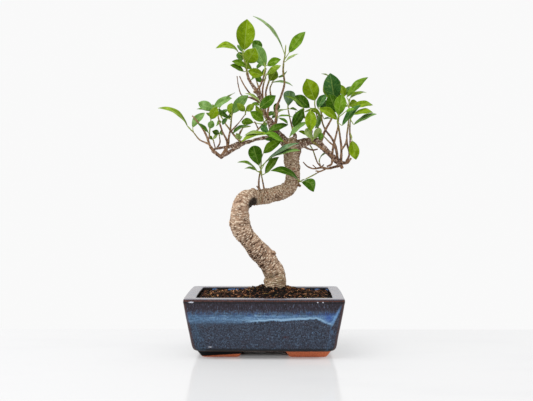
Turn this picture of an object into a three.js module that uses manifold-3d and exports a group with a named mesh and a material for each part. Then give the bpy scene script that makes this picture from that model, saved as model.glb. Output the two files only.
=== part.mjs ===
// A small fig bonsai in a glazed oblong pot. Millimetres, +Z up, +Y away from the viewer.
// Points of the plant are given as they are seen from the front: across and up on the upright
// plane through the pot's centre, then depth behind that plane. fromFront() turns them into
// true places for an eye in front of the pot.
import * as THREE from "three";
import * as BufferGeometryUtils from "three/addons/utils/BufferGeometryUtils.js";
import Module from "manifold-3d";

// ---- driving dimensions ----
const EYE = new THREE.Vector3(14.7, -1065, 200);
const RIM_LENGTH = 183;
const RIM_DEPTH = 130;
const POT_HEIGHT = 70;
const RIM_WIDTH = 13.7;
const RIM_EDGE = 2;
const CORNER_RADIUS = 4.5;
const FOOT_HEIGHT = 8.2;
// A foot's inner end, outer end, inner face and outer face from the pot's middle.
const FOOT_TOP = [24, 76.8, 24, 48];
const FOOT_GROUND = [29.2, 71.5, 28, 42];
const FOOT_WORN = 1.5;
const FLOOR_TOP = 16;
const HOLE_X = 38;
const HOLE_RADIUS = 9;
const SCREEN_SIDE = 30;
const SCREEN_THICKNESS = 1.2;
const SOIL_EDGE_Z = 65.5;
const MOUND_HEIGHT = 13;
const MOUND_CENTRE = [9, 0];
const GAP = 0.3;
const SMOOTHING = 0.06;
const TRUNK_SIDES = 12;
const LIMB_SIDES = 8;
const TWIG_SIDES = 5;
const THIN_TWIG = 2.3;
const STEM_SIDES = 4;
const BLADE_THICKNESS = 0.7;
const LEAF_ASPECT = 0.52;
const WIDEST_TURNED = 15;
const STALK_RADIUS = 0.55;

// ---- solids ----
const wasm = await Module();
wasm.setup();

function solidFrom(geometry) {
  const clean = geometry.clone();
  clean.deleteAttribute("normal");
  clean.deleteAttribute("uv");
  const merged = BufferGeometryUtils.mergeVertices(clean, 1e-4);
  return new wasm.Manifold(new wasm.Mesh({
    numProp: 3,
    vertProperties: new Float32Array(merged.attributes.position.array),
    triVerts: new Uint32Array(merged.index.array),
  }));
}

function geometryFrom(solid) {
  const mesh = solid.getMesh();
  const geometry = new THREE.BufferGeometry();
  geometry.setAttribute("position", new THREE.BufferAttribute(new Float32Array(mesh.vertProperties), 3));
  geometry.setIndex(new THREE.BufferAttribute(new Uint32Array(mesh.triVerts), 1));
  geometry.computeVertexNormals();
  return geometry;
}

function joined(solids) {
  return wasm.Manifold.union(solids);
}

// Grown pieces are joined and their slivers, finer than the smoothing, are taken out.
function grown(solids) {
  return joined(solids).simplify(SMOOTHING);
}

// A closed skin over a list of rings, each a list of points in the same order, with flat ends.
function skin(rings) {
  const count = rings[0].length;
  const points = [];
  for (const ring of rings) {
    for (const p of ring) {
      points.push(p.x, p.y, p.z);
    }
  }
  const faces = [];
  for (let i = 0; i + 1 < rings.length; i += 1) {
    for (let j = 0; j < count; j += 1) {
      const a = i * count + j;
      const b = i * count + (j + 1) % count;
      const c = a + count;
      const d = b + count;
      faces.push(a, b, d, a, d, c);
    }
  }
  for (const [row, turned] of [[0, true], [rings.length - 1, false]]) {
    const first = row * count;
    const middle = points.length / 3;
    const centre = new THREE.Vector3();
    for (const p of rings[row]) {
      centre.addScaledVector(p, 1 / count);
    }
    points.push(centre.x, centre.y, centre.z);
    for (let j = 0; j < count; j += 1) {
      const a = first + j;
      const b = first + (j + 1) % count;
      faces.push(middle, turned ? b : a, turned ? a : b);
    }
  }
  const geometry = new THREE.BufferGeometry();
  geometry.setAttribute("position", new THREE.Float32BufferAttribute(points, 3));
  geometry.setIndex(faces);
  return geometry;
}

function fromFront(across, up, depth) {
  const k = (depth - EYE.y) / -EYE.y;
  return new THREE.Vector3(
    EYE.x + (across - EYE.x) * k,
    depth,
    EYE.z + (up - EYE.z) * k,
  );
}

// ---- pot ----
// An oblong ring with rounded corners at one height; the sides bow out a little.
function oblong(halfLength, halfDepth, z, radius, bow, cornerSteps = 4, sideSteps = 3) {
  const ring = [];
  const r = radius;
  const corners = [[1, -1], [1, 1], [-1, 1], [-1, -1]];
  for (let q = 0; q < 4; q += 1) {
    const [sx, sy] = corners[q];
    for (let s = 0; s <= cornerSteps; s += 1) {
      const angle = (q - 1 + s / cornerSteps) * Math.PI / 2;
      ring.push([
        sx * (halfLength - r) + r * Math.cos(angle),
        sy * (halfDepth - r) + r * Math.sin(angle),
      ]);
    }
    const [nx, ny] = corners[(q + 1) % 4];
    const last = ring[ring.length - 1];
    const nextAngle = q * Math.PI / 2;
    const next = [
      nx * (halfLength - r) + r * Math.cos(nextAngle),
      ny * (halfDepth - r) + r * Math.sin(nextAngle),
    ];
    for (let s = 1; s < sideSteps; s += 1) {
      const t = s / sideSteps;
      const out = bow * 4 * t * (1 - t);
      ring.push([
        last[0] + (next[0] - last[0]) * t + out * Math.cos(nextAngle),
        last[1] + (next[1] - last[1]) * t + out * Math.sin(nextAngle),
      ]);
    }
  }
  return ring.map(([x, y]) => new THREE.Vector3(x, y, z));
}

// Height and inset from the rim's outer edge, up the outside of the wall.
const WALL = [
  [FOOT_HEIGHT, 14.2],
  [FOOT_HEIGHT + 1, 12],
  [FOOT_HEIGHT + 2.8, 10.1],
  [FOOT_HEIGHT + 6, 8.9],
  [22, 7.5],
  [34, 5.4],
  [46, 3.3],
  [57, 1.3],
  [64, 0.5],
];

function potSolid() {
  const halfLength = RIM_LENGTH / 2;
  const halfDepth = RIM_DEPTH / 2;
  const at = (inset, z, radius) => oblong(halfLength - inset, halfDepth - inset, z, radius, 0.9);
  const rings = WALL.map(([z, inset]) => at(inset, z, CORNER_RADIUS + inset * 0.35));
  rings.push(at(0, POT_HEIGHT - 4.5, CORNER_RADIUS));
  rings.push(at(0, POT_HEIGHT - RIM_EDGE, CORNER_RADIUS));
  rings.push(at(RIM_EDGE * 0.3, POT_HEIGHT - RIM_EDGE * 0.3, CORNER_RADIUS));
  rings.push(at(RIM_EDGE, POT_HEIGHT, CORNER_RADIUS));
  rings.push(at(RIM_WIDTH - 1, POT_HEIGHT, 5));
  rings.push(at(RIM_WIDTH, POT_HEIGHT - 1, 5));
  rings.push(at(RIM_WIDTH, POT_HEIGHT - 8, 5));
  rings.push(at(RIM_WIDTH, 46, 6));
  rings.push(at(RIM_WIDTH + 5, FLOOR_TOP + 8, 8));
  rings.push(at(RIM_WIDTH + 9, FLOOR_TOP, 8));
  const body = solidFrom(skin(rings));
  const feet = [];
  for (const sx of [-1, 1]) {
    for (const sy of [-1, 1]) {
      feet.push(solidFrom(skin([footRing(sx, sy, 0, FOOT_WORN), footRing(sx, sy, FOOT_WORN, 0),
        footRing(sx, sy, FOOT_HEIGHT, 0), footRing(sx, sy, FOOT_HEIGHT + 2, 0)])));
    }
  }
  const holes = [-HOLE_X, HOLE_X].map((x) => {
    const hole = new THREE.CylinderGeometry(HOLE_RADIUS, HOLE_RADIUS, 40, 24);
    hole.rotateX(Math.PI / 2);
    hole.translate(x, 0, FLOOR_TOP);
    return solidFrom(hole);
  });
  return joined([body, ...feet]).subtract(joined(holes));
}

// One foot's outline at a height: a tapered block set in from the wall.
function footRing(sx, sy, z, worn) {
  const t = Math.min(1, z / FOOT_HEIGHT);
  const [inner, outer, back, front] = FOOT_GROUND.map((low, i) => {
    const inward = i % 2 ? -1 : 1;
    return low + (FOOT_TOP[i] - low) * t + inward * worn;
  });
  const corners = [[inner, back], [outer, back], [outer, front], [inner, front]];
  const ring = corners.map(([x, y]) => new THREE.Vector3(sx * x, sy * y, z));
  return sx * sy > 0 ? ring : ring.reverse();
}

// ---- drainage screens: a square net over each hole ----
function screenSolid(x) {
  const plate = new THREE.BoxGeometry(SCREEN_SIDE, SCREEN_SIDE, SCREEN_THICKNESS);
  const openings = [];
  const pitch = 6.5;
  for (let i = -1.5; i <= 1.5; i += 1) {
    for (let j = -1.5; j <= 1.5; j += 1) {
      const opening = new THREE.BoxGeometry(4.4, 4.4, 4);
      opening.translate(i * pitch, j * pitch, 0);
      openings.push(solidFrom(opening));
    }
  }
  return solidFrom(plate).subtract(joined(openings))
    .translate([x, 0, FLOOR_TOP + GAP + SCREEN_THICKNESS / 2]);
}

// ---- soil ----
// Height of the soil's top: a mound round the trunk, roughened by crumbs and bark chips.
function soilHeight(x, y) {
  const dx = (x - MOUND_CENTRE[0]) / 38;
  const dy = (y - MOUND_CENTRE[1]) / 32;
  const mound = MOUND_HEIGHT * Math.exp(-(dx * dx + dy * dy) * 0.9);
  const crumbs = Math.sin(x * 0.47 + y * 0.31) * Math.sin(y * 0.53 - x * 0.22)
    + 0.7 * Math.sin(x * 0.9 + 1.3) * Math.sin(y * 0.83 + 0.6);
  return SOIL_EDGE_Z + mound + 0.9 * crumbs;
}

function soilSolid(hole) {
  const halfLength = RIM_LENGTH / 2 - RIM_WIDTH - GAP;
  const halfDepth = RIM_DEPTH / 2 - RIM_WIDTH - GAP;
  const bottom = FLOOR_TOP + GAP;
  const at = (inset, z, radius) => oblong(halfLength - inset, halfDepth - inset, z, radius, 0.9, 2, 7);
  const rings = [
    at(9.4, bottom, 8),
    at(5.4, FLOOR_TOP + 8, 8),
    at(0.3, 46, 6),
    at(0.1, 61, 5),
  ];
  const steps = 9;
  const edge = at(0.2, 0, 5);
  for (let s = 0; s < steps; s += 1) {
    const k = 1 - s / steps;
    rings.push(edge.map((p) => {
      const x = p.x * k + MOUND_CENTRE[0] * (1 - k);
      const y = p.y * k + MOUND_CENTRE[1] * (1 - k);
      return new THREE.Vector3(x, y, soilHeight(x, y));
    }));
  }
  const side = SCREEN_SIDE + 2 * GAP;
  const height = 2 * (SCREEN_THICKNESS + GAP);
  const pockets = [-HOLE_X, HOLE_X].map((x) => {
    const pocket = new THREE.BoxGeometry(side, side, height);
    pocket.translate(x, 0, bottom);
    return solidFrom(pocket);
  });
  return solidFrom(skin(rings)).subtract(joined([...pockets, hole]));
}

// ---- wood ----
// A round limb through the given stations [across, up, depth, diameter], thickened by extra,
// with a rounded free end. The bark swells and shrinks a little along and round the limb.
function limb(stations, sides, step, lumps = 0, extra = 0) {
  const places = stations.map(([x, z, y]) => fromFront(x, z, y));
  const curve = new THREE.CatmullRomCurve3(places, false, "centripetal");
  const chords = places.slice(1).map((p, i) => p.distanceTo(places[i]));
  const rings = [];
  let across = new THREE.Vector3(0, 1, 0);
  const lay = (centre, along, radius, phase) => {
    across = across.clone().addScaledVector(along, -across.dot(along)).normalize();
    const other = new THREE.Vector3().crossVectors(along, across);
    const ring = [];
    for (let j = 0; j < sides; j += 1) {
      const angle = 2 * Math.PI * j / sides;
      const swell = 1 + lumps * (Math.sin(2 * angle + phase * 0.9) * 0.5
        + Math.sin(3 * angle - phase * 1.7) * 0.35 + Math.sin(phase * 2.6) * 0.4);
      ring.push(centre.clone()
        .addScaledVector(across, (radius * swell + extra) * Math.cos(angle))
        .addScaledVector(other, (radius * swell + extra) * Math.sin(angle)));
    }
    rings.push(ring);
  };
  const last = places.length - 1;
  let run = 0;
  for (let i = 0; i < last; i += 1) {
    const count = Math.max(1, Math.round(chords[i] / step));
    for (let s = 0; s < count; s += 1) {
      const t = s / count;
      const u = (i + t) / last;
      const smooth = t * t * (3 - 2 * t);
      const radius = (stations[i][3] + (stations[i + 1][3] - stations[i][3]) * smooth) / 2;
      lay(curve.getPoint(u), curve.getTangent(u), radius, (run + t * chords[i]) / 6);
    }
    run += chords[i];
  }
  const along = curve.getTangent(1);
  const radius = stations[last][3] / 2;
  lay(places[last], along, radius, run / 6);
  lay(places[last].clone().addScaledVector(along, radius * 0.35), along, radius * 0.62, run / 6);
  return solidFrom(skin(rings));
}

const TRUNK = [
  [13, 50, 0, 16], [13, 58, 0, 23], [12.8, 68, 0, 26], [12.7, 76, 0, 26], [12.7, 82, 0, 25.5],
  [12.5, 90, 0, 24.5], [8, 100, -1, 24], [1.5, 110, -2, 24], [-8, 120, -4, 23],
  [-16.5, 130, -6, 21.5], [-24.5, 140, -8, 22], [-29, 150, -9, 23.5], [-30, 160, -10, 22.5],
  [-29.5, 168.5, -11, 20.5], [-26.8, 176, -10, 20.5], [-20.5, 182, -4, 20.5], [-13, 183.5, 5, 19.5],
  [-4, 184, 9, 18.5], [9, 186.5, 9, 17.5], [20, 189.5, 6, 18], [29, 195, 4, 17.5],
  [33.5, 204, 2, 16.5], [34, 211, 1, 16], [33, 220, 0, 17], [32, 230, 0, 19], [32.5, 240, 0, 22],
  [31.5, 247, 0, 20], [29.5, 252, 0, 13],
];
const HOLE_STATIONS = 7;

const LIMBS = [
  // upper trunk
  [[30, 242, 2, 12], [22, 252, 3, 12], [13.5, 259.5, 2, 11.5], [9.5, 268, 2, 10.4], [6, 274, 2, 7.6],
    [1.5, 281, 3, 5], [-0.8, 290, 3, 4.4], [-3, 298, 3, 4.6], [-8, 308, 2, 4.2], [-14, 316, 1, 3.6],
    [-20, 326, 0, 2.8]],
  // right limb
  [[31, 241, -2, 14], [38, 245, -3, 13], [45.8, 248.4, -3, 11], [52, 250.2, -3, 9],
    [59, 250.8, -4, 8.6], [65, 247.8, -4, 8.6], [71, 241.8, -4, 7.4], [77, 235.9, -3, 6.4],
    [81.6, 231, -3, 5.8], [86.4, 226.3, -2, 6], [90, 222, -2, 4.5]],
  // left limb and the branch beside it
  [[28, 247, 0, 8], [20, 251.5, 1, 5.8], [10, 254, 2, 4.6], [0, 254.5, 3, 4.2], [-10, 252.5, 3, 3.8],
    [-20, 249.5, 2, 3.8], [-28, 246.8, 1, 4.8], [-34, 243, -1, 5.4], [-42, 238, -4, 4.6],
    [-48, 234, -6, 4], [-52, 231.5, -7, 3.8]],
  [[-18, 250, 3, 4.4], [-30, 248.5, 6, 4.2], [-41, 244, 8, 3.6], [-52, 243, 8, 3.2], [-62, 240, 5, 3],
    [-60, 237, -3, 3], [-53, 232, -6, 3.6]],
];

// Twigs by name; the last station of a twig is where its green shoot begins.
const TWIGS = {
  topLeft: [[-17, 321, 0.5, 3.2], [-20, 328, 0, 2.8], [-21, 333, 0, 2.6]],
  topBareA: [[-2, 294, 2, 2.4], [-9, 299, -2, 2], [-18, 308, -6, 1.8], [-25, 318, -9, 1.6],
    [-30, 328, -10, 1.3]],
  topBareB: [[-4, 302, 4, 2], [-15, 302.5, 10, 1.8], [-27, 305, 14, 1.6], [-31, 315, 16, 1.4],
    [-33, 328, 17, 1.2]],
  topStub: [[-3, 294, 4, 2], [-10, 299, 7, 1.8], [-18, 302.5, 9, 1.5]],
  topMiddle: [[-9, 308, 2, 3], [-12.5, 309.5, -3, 2.6], [-9.5, 312, -6, 2.4], [-6, 315.5, -7, 2.3],
    [-3, 322, -9, 2.1], [-0.8, 328.5, -11, 2], [1, 335, -12, 2]],
  topBehind: [[-3, 298, 4, 2.6], [-4.4, 304, 6, 2.4], [-5.8, 310, 7, 2.1], [-6, 316, 8, 1.8]],
  topSecond: [[-2, 296, 3, 2.4], [-2.5, 311, 1, 2.2], [-1, 320, 0, 2], [0.5, 324, -0.5, 1.8]],
  topThird: [[-0.5, 291, 4, 2.6], [1.3, 300, 6, 2.4], [1.5, 310, 7, 2.3], [5, 322, 10, 2]],
  topYellow: [[6, 272, 3, 2.8], [3.6, 280, -3, 2.4], [4, 288, -4, 2.2], [7.5, 300, 4, 1.9],
    [6.5, 314, 15, 1.7], [9, 320, 17, 1.6]],
  topTall: [[10.5, 266, 0, 4], [13, 273, -2, 3.6], [14.5, 284, -1, 3.2], [14, 290, 2, 3.2],
    [19, 303, 9, 2.6], [23.5, 319, 10, 2.3], [22, 334, 9, 2.1], [22.5, 343, 8, 2]],
  topLow: [[3, 278, 1, 2.6], [0.5, 284, -5, 2.2], [-3.5, 288, -12, 1.8]],
  topLowB: [[13, 275, -1, 2.2], [14.5, 278.5, -5, 1.8]],
  topLowC: [[14.5, 285, -1, 2.4], [12, 285.5, 4, 1.7]],
  leftLong: [[-52, 232, -7, 3], [-58, 237, -12, 2.8], [-64, 242, -15, 2.6], [-67, 250, -16, 2.4],
    [-71, 260, -17, 2.2], [-78, 271, -17, 1.8], [-86.5, 281, -16, 1.4]],
  leftLongStub: [[-70, 257, -17, 1.8], [-73, 268, -21, 1.4]],
  leftOut: [[-61, 240, 4, 2.6], [-67, 247, 8, 2.2], [-78, 252.5, 10, 1.9], [-84.5, 260.5, 10, 1.6]],
  leftYoung: [[-67.5, 251, -16, 1.8], [-66.3, 256, -21, 1.6], [-66, 260, -24, 1.5]],
  leftMiddle: [[-46, 236, -5, 2.8], [-45, 250, -10, 2.6], [-50.5, 262, -14, 2.2], [-54, 273, -17, 1.9],
    [-56.5, 285, -19, 1.6]],
  leftInner: [[-52, 233, -6, 3], [-48, 239, -4, 3], [-44, 246, -2, 3], [-43, 254, 2, 2.7],
    [-41, 265, 6, 2.3], [-40, 275, 9, 2]],
  leftFork: [[-41.5, 261, 4, 1.8], [-31, 272.5, 1, 1.5], [-24, 281.5, -1, 1.3]],
  leftSmallA: [[-57, 242.5, 7, 2], [-53.5, 249, 11, 1.7], [-54, 256, 13, 1.5]],
  leftSmallB: [[-59, 242, 5, 1.6], [-61, 250, 6, 1.3]],
  leftRise: [[-30, 248.5, 6, 2.4], [-20, 255, 3, 2.2], [-9, 263.5, 0, 2], [-3, 270, -2, 1.7]],
  leftRiseStub: [[-7.5, 265, -0.5, 1.5], [-12, 274, -3, 1.2]],
  leftDark: [[-30, 249, 6, 2], [-30, 259, 9, 2.2], [-27, 265, 10, 2]],
  leftLow: [[-29, 247, 5, 2], [-29.5, 250, -2, 1.5]],
  knotStub: [[89.5, 225, -2, 5.5], [92.5, 218.5, -3, 4]],
  knotSpur: [[89, 225, -2, 5], [98, 225, 0, 3.6], [103, 230, 2, 2.4]],
  rightOuter: [[97, 225, 0, 3], [101, 235, 3, 2.6], [98.5, 247, 7, 2.4], [98, 257, 10, 2.2],
    [99.5, 268, 13, 2], [100, 274, 14, 1.8]],
  rightOuterB: [[101, 236, 3, 2.2], [102, 250, 0, 2], [101.5, 263, -3, 1.8], [102, 275, -6, 1.6]],
  rightUp: [[91, 226, -2, 3.4], [91.5, 242, -7, 2.8], [90, 255, -11, 2.3], [88, 268, -15, 2],
    [87, 272, -16, 1.8]],
  rightTall: [[80.5, 234, -3, 3], [82, 245, 8, 2.6], [84.5, 255, 14, 2.2], [87, 266, 18, 2],
    [88, 276, 21, 1.9], [88.5, 281, 23, 1.7]],
  rightLink: [[91.2, 240, -5, 2.6], [96, 246.5, 2, 2.4], [98, 253, 8, 2.2]],
  rightOuterHang: [[101.5, 262, -3, 1.8], [102, 260, -7, 1.5]],
  rightInner: [[87, 229, -2, 3], [85, 243, 2, 2.6], [80, 254, 4, 2.4], [73.5, 262.5, 4, 2.2],
    [69, 272, 2, 2],
    [67.5, 282, 0, 1.8]],
  rightSlant: [[87, 231, -1.5, 2.4], [83, 244, -14, 2], [76.5, 250, -20, 1.8], [70, 257, -24, 1.4]],
  rightPale: [[82, 231, -5, 2.2], [70, 241, -11, 2.6], [57.5, 249.5, -11, 2.4]],
  rightDown: [[81, 232, -3, 3], [79.5, 223, -6, 2.6], [74.5, 220.5, -8, 2]],
  lowMain: [[91, 222, -2, 3.6], [84, 220, 3, 3], [75, 218, 7, 2.5], [68, 219, 9, 2.2],
    [58, 217.8, 10, 1.8],
    [51, 220.5, 9, 1.6], [46, 225.5, 7, 1.3]],
  lowStubA: [[62, 218, 9.5, 1.6], [57.5, 222, 8, 1.3]],
  lowStubB: [[67, 219, 9, 1.8], [70.5, 222.5, 7, 1.5]],
  lowFork: [[73, 217.5, 8, 1.8], [66, 214.5, 5, 1.9], [61, 215, 3, 1.7]],
  lowThin: [[67, 215, 5.5, 1.6], [62.5, 212.5, 7, 1.3]],
  lowGreen: [[68, 219, 9, 2], [63, 225, 14, 1.7], [60, 233, 18, 1.5]],
  lowBud: [[67, 219.5, 9, 1.8], [65.5, 225, 9, 1.2]],
  crossTwig: [[46, 245, 1, 3], [52, 241.5, 11, 2.4], [58, 240, 16, 2], [63, 241, 18, 1.6]],
  centreUp: [[30, 247, 3, 3], [35, 257, 10, 2.4], [33, 266, 13, 2.2], [30, 278, 13, 1.6],
    [28, 288, 13, 1.5]],
  centreLeft: [[27, 248, -6, 3.4], [22, 251, -10, 2.6], [16, 255, -12, 2.2]],
  centreFork: [[35, 249, -2, 2.8], [37.5, 257, -8, 2.3], [34.5, 262, -10, 1.7]],
  shadeTwig: [[52, 249, 0, 2.6], [56, 262, 12, 2.2], [52, 274, 16, 2], [48, 279, 17, 2]],
  shadeStub: [[49, 277.5, 17, 1.7], [45, 279.7, 19, 1.5], [36.5, 285.5, 21, 1.1]],
  foreTwig: [[56, 249, 0, 2.6], [63, 262, 8, 2.2], [63, 276, 10, 1.8], [61, 287, 10, 1.6]],
  sprigMain: [[-5, 188, 5, 3.4], [-7, 197, 1, 2.4], [-6.5, 208, -1, 2], [-5, 214, -2, 1.9]],
  sprigStub: [[-6, 192, 2, 2], [-9.5, 197, -1, 1.6]],
  sprigThin: [[0, 190, 7, 2.4], [-2.5, 203, 5, 1.6], [-3.5, 208, 4, 1.4]],
  nubStub: [[38, 200, 2, 5], [42.5, 197, -1, 3]],
  nubSprig: [[36, 202, -2, 4], [41.5, 202.5, -9.5, 2]],
  backLeft: [[-26, 247, 5, 3], [-35, 256, 18, 2.4], [-42, 265, 28, 2], [-46, 270, 34, 1.8]],
  backCentre: [[9, 266, 4, 3.4], [11, 267, 18, 2.6], [9, 269, 28, 2.1], [7, 271, 33, 1.8]],
  backRight: [[66, 247, 0, 3.6], [72, 263, 20, 2.8], [80, 278, 30, 2.2], [83, 287, 36, 1.8]],
  backTop: [[-3, 300, 4, 2.6], [-6, 311, 13, 2.1], [-9, 320, 21, 1.8]],
};

// Pruning scars and lumps on the trunk: [across, up, depth, radius].
const NUBS = [
  [-1.5, 126, -7, 3], [10, 116.5, -6, 3.6], [-17.5, 119.5, -6, 3.2], [-39, 151, -9, 3.4],
  [38, 239, -3, 6], [23.5, 241, -6, 4], [-14, 192, 2, 3], [86.5, 227, -3, 3.8],
  [90, 223.5, -2.5, 3.2], [82, 231.5, -3, 3.3], [-52, 232, -7, 2.6], [-33, 244.5, 0, 3.2],
  [47, 251, -4, 3.4], [64, 249.5, -4, 3.6],
];

function woodSolid() {
  const pieces = [limb(TRUNK, TRUNK_SIDES, 7, 0.05)];
  for (const stations of LIMBS) {
    pieces.push(limb(stations, LIMB_SIDES, 10, 0.05));
  }
  for (const stations of Object.values(TWIGS)) {
    const sides = stations[0][3] < THIN_TWIG ? TWIG_SIDES - 1 : TWIG_SIDES;
    pieces.push(limb(stations, sides, 14));
  }
  for (const [x, z, y, radius] of NUBS) {
    const nub = new THREE.SphereGeometry(radius, 7, 4);
    const place = fromFront(x, z, y);
    nub.translate(place.x, place.y, place.z);
    pieces.push(solidFrom(nub));
  }
  return grown(pieces);
}

function soilHole() {
  const [x, z, y, diameter] = TRUNK[0];
  const stations = [[x, z - 2 * GAP, y, diameter], ...TRUNK.slice(1, HOLE_STATIONS)];
  return limb(stations, TRUNK_SIDES, 7, 0.05, 1.5 * GAP);
}

// ---- leaves ----
// Half width along a blade, as a share of its widest: wedge foot and drawn-out point, or for a
// round-ended blade widest near its end.
function outline(t, round) {
  return round ? Math.min(1, 2.857 * Math.pow(t, 1.1) * Math.pow(1 - t, 0.55))
    : Math.min(1, 2.863 * Math.pow(t, 0.8) * Math.pow(1 - t, 0.72)) * (1 - 0.5 * Math.pow(t, 8));
}

// One leaf with its stalk. root is on the stem, foot and tip are the blade's ends; seen is the
// width of the blade as it shows from the front, turn says to which side its face is turned
// (1 up or right, -1 down or left), arch lifts the middle of the blade off its chord and bend
// pushes it sideways; round picks the round-ended outline.
function leaf(root, foot, tip, seen, turn, arch, bend, round) {
  const chord = new THREE.Vector3().subVectors(tip, foot);
  const length = chord.length();
  const along = chord.clone().normalize();
  const sight = new THREE.Vector3().addVectors(foot, tip).multiplyScalar(0.5).sub(EYE).normalize();
  const facing = sight.clone().negate();
  facing.addScaledVector(along, -facing.dot(along)).normalize();
  const sideways = new THREE.Vector3().crossVectors(facing, along).normalize();
  const lean = Math.abs(sideways.z) > 0.35 ? sideways.z : sideways.x;
  if (lean < 0) {
    sideways.negate();
  }
  const width = Math.max(Math.min(LEAF_ASPECT * length, WIDEST_TURNED), seen);
  const roll = turn * Math.acos(Math.min(1, seen / width));
  const normal = facing.clone().multiplyScalar(Math.cos(roll)).addScaledVector(sideways, Math.sin(roll));
  const side = new THREE.Vector3().crossVectors(normal, along).normalize();
  const stations = length > 22 ? [0.13, 0.4, 0.78]
    : length > 12 ? [0.2, 0.65] : [0.5];
  const rings = [];
  const lay = (centre, up, half, fold, thick) => {
    const h = thick / 2;
    const left = centre.clone().addScaledVector(side, half).addScaledVector(up, fold);
    const right = centre.clone().addScaledVector(side, -half).addScaledVector(up, fold);
    const edge = h * 0.9;
    rings.push([
      left.clone().addScaledVector(up, edge),
      centre.clone().addScaledVector(up, h),
      right.clone().addScaledVector(up, edge),
      right.clone().addScaledVector(up, -edge),
      centre.clone().addScaledVector(up, -h),
      left.clone().addScaledVector(up, -edge),
    ]);
  };
  const stalk = new THREE.Vector3().subVectors(foot, root).normalize();
  const stalkSide = new THREE.Vector3().crossVectors(normal, stalk).normalize();
  const stalkUp = new THREE.Vector3().crossVectors(stalk, stalkSide);
  const layStalk = (centre, radius) => {
    const ring = [];
    for (let j = 0; j < 6; j += 1) {
      const angle = Math.PI / 6 + j * Math.PI / 3;
      ring.push(centre.clone()
        .addScaledVector(stalkSide, radius * Math.cos(angle))
        .addScaledVector(stalkUp, radius * Math.sin(angle)));
    }
    rings.push(ring);
  };
  layStalk(root, STALK_RADIUS);
  layStalk(foot.clone().addScaledVector(stalk, -0.6), STALK_RADIUS);
  for (const t of [...stations, 1]) {
    const centre = foot.clone().addScaledVector(along, t * length)
      .addScaledVector(normal, arch * 4 * t * (1 - t))
      .addScaledVector(side, bend * 4 * t * (1 - t));
    const slope = arch * 4 * (1 - 2 * t) / length;
    const up = normal.clone().addScaledVector(along, -slope).normalize();
    const half = t === 1 ? 0.3 : outline(t, round) * width / 2;
    lay(centre, up, half, half * 0.16, t === 1 ? 0.5 : BLADE_THICKNESS);
  }
  return solidFrom(skin(rings));
}

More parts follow.
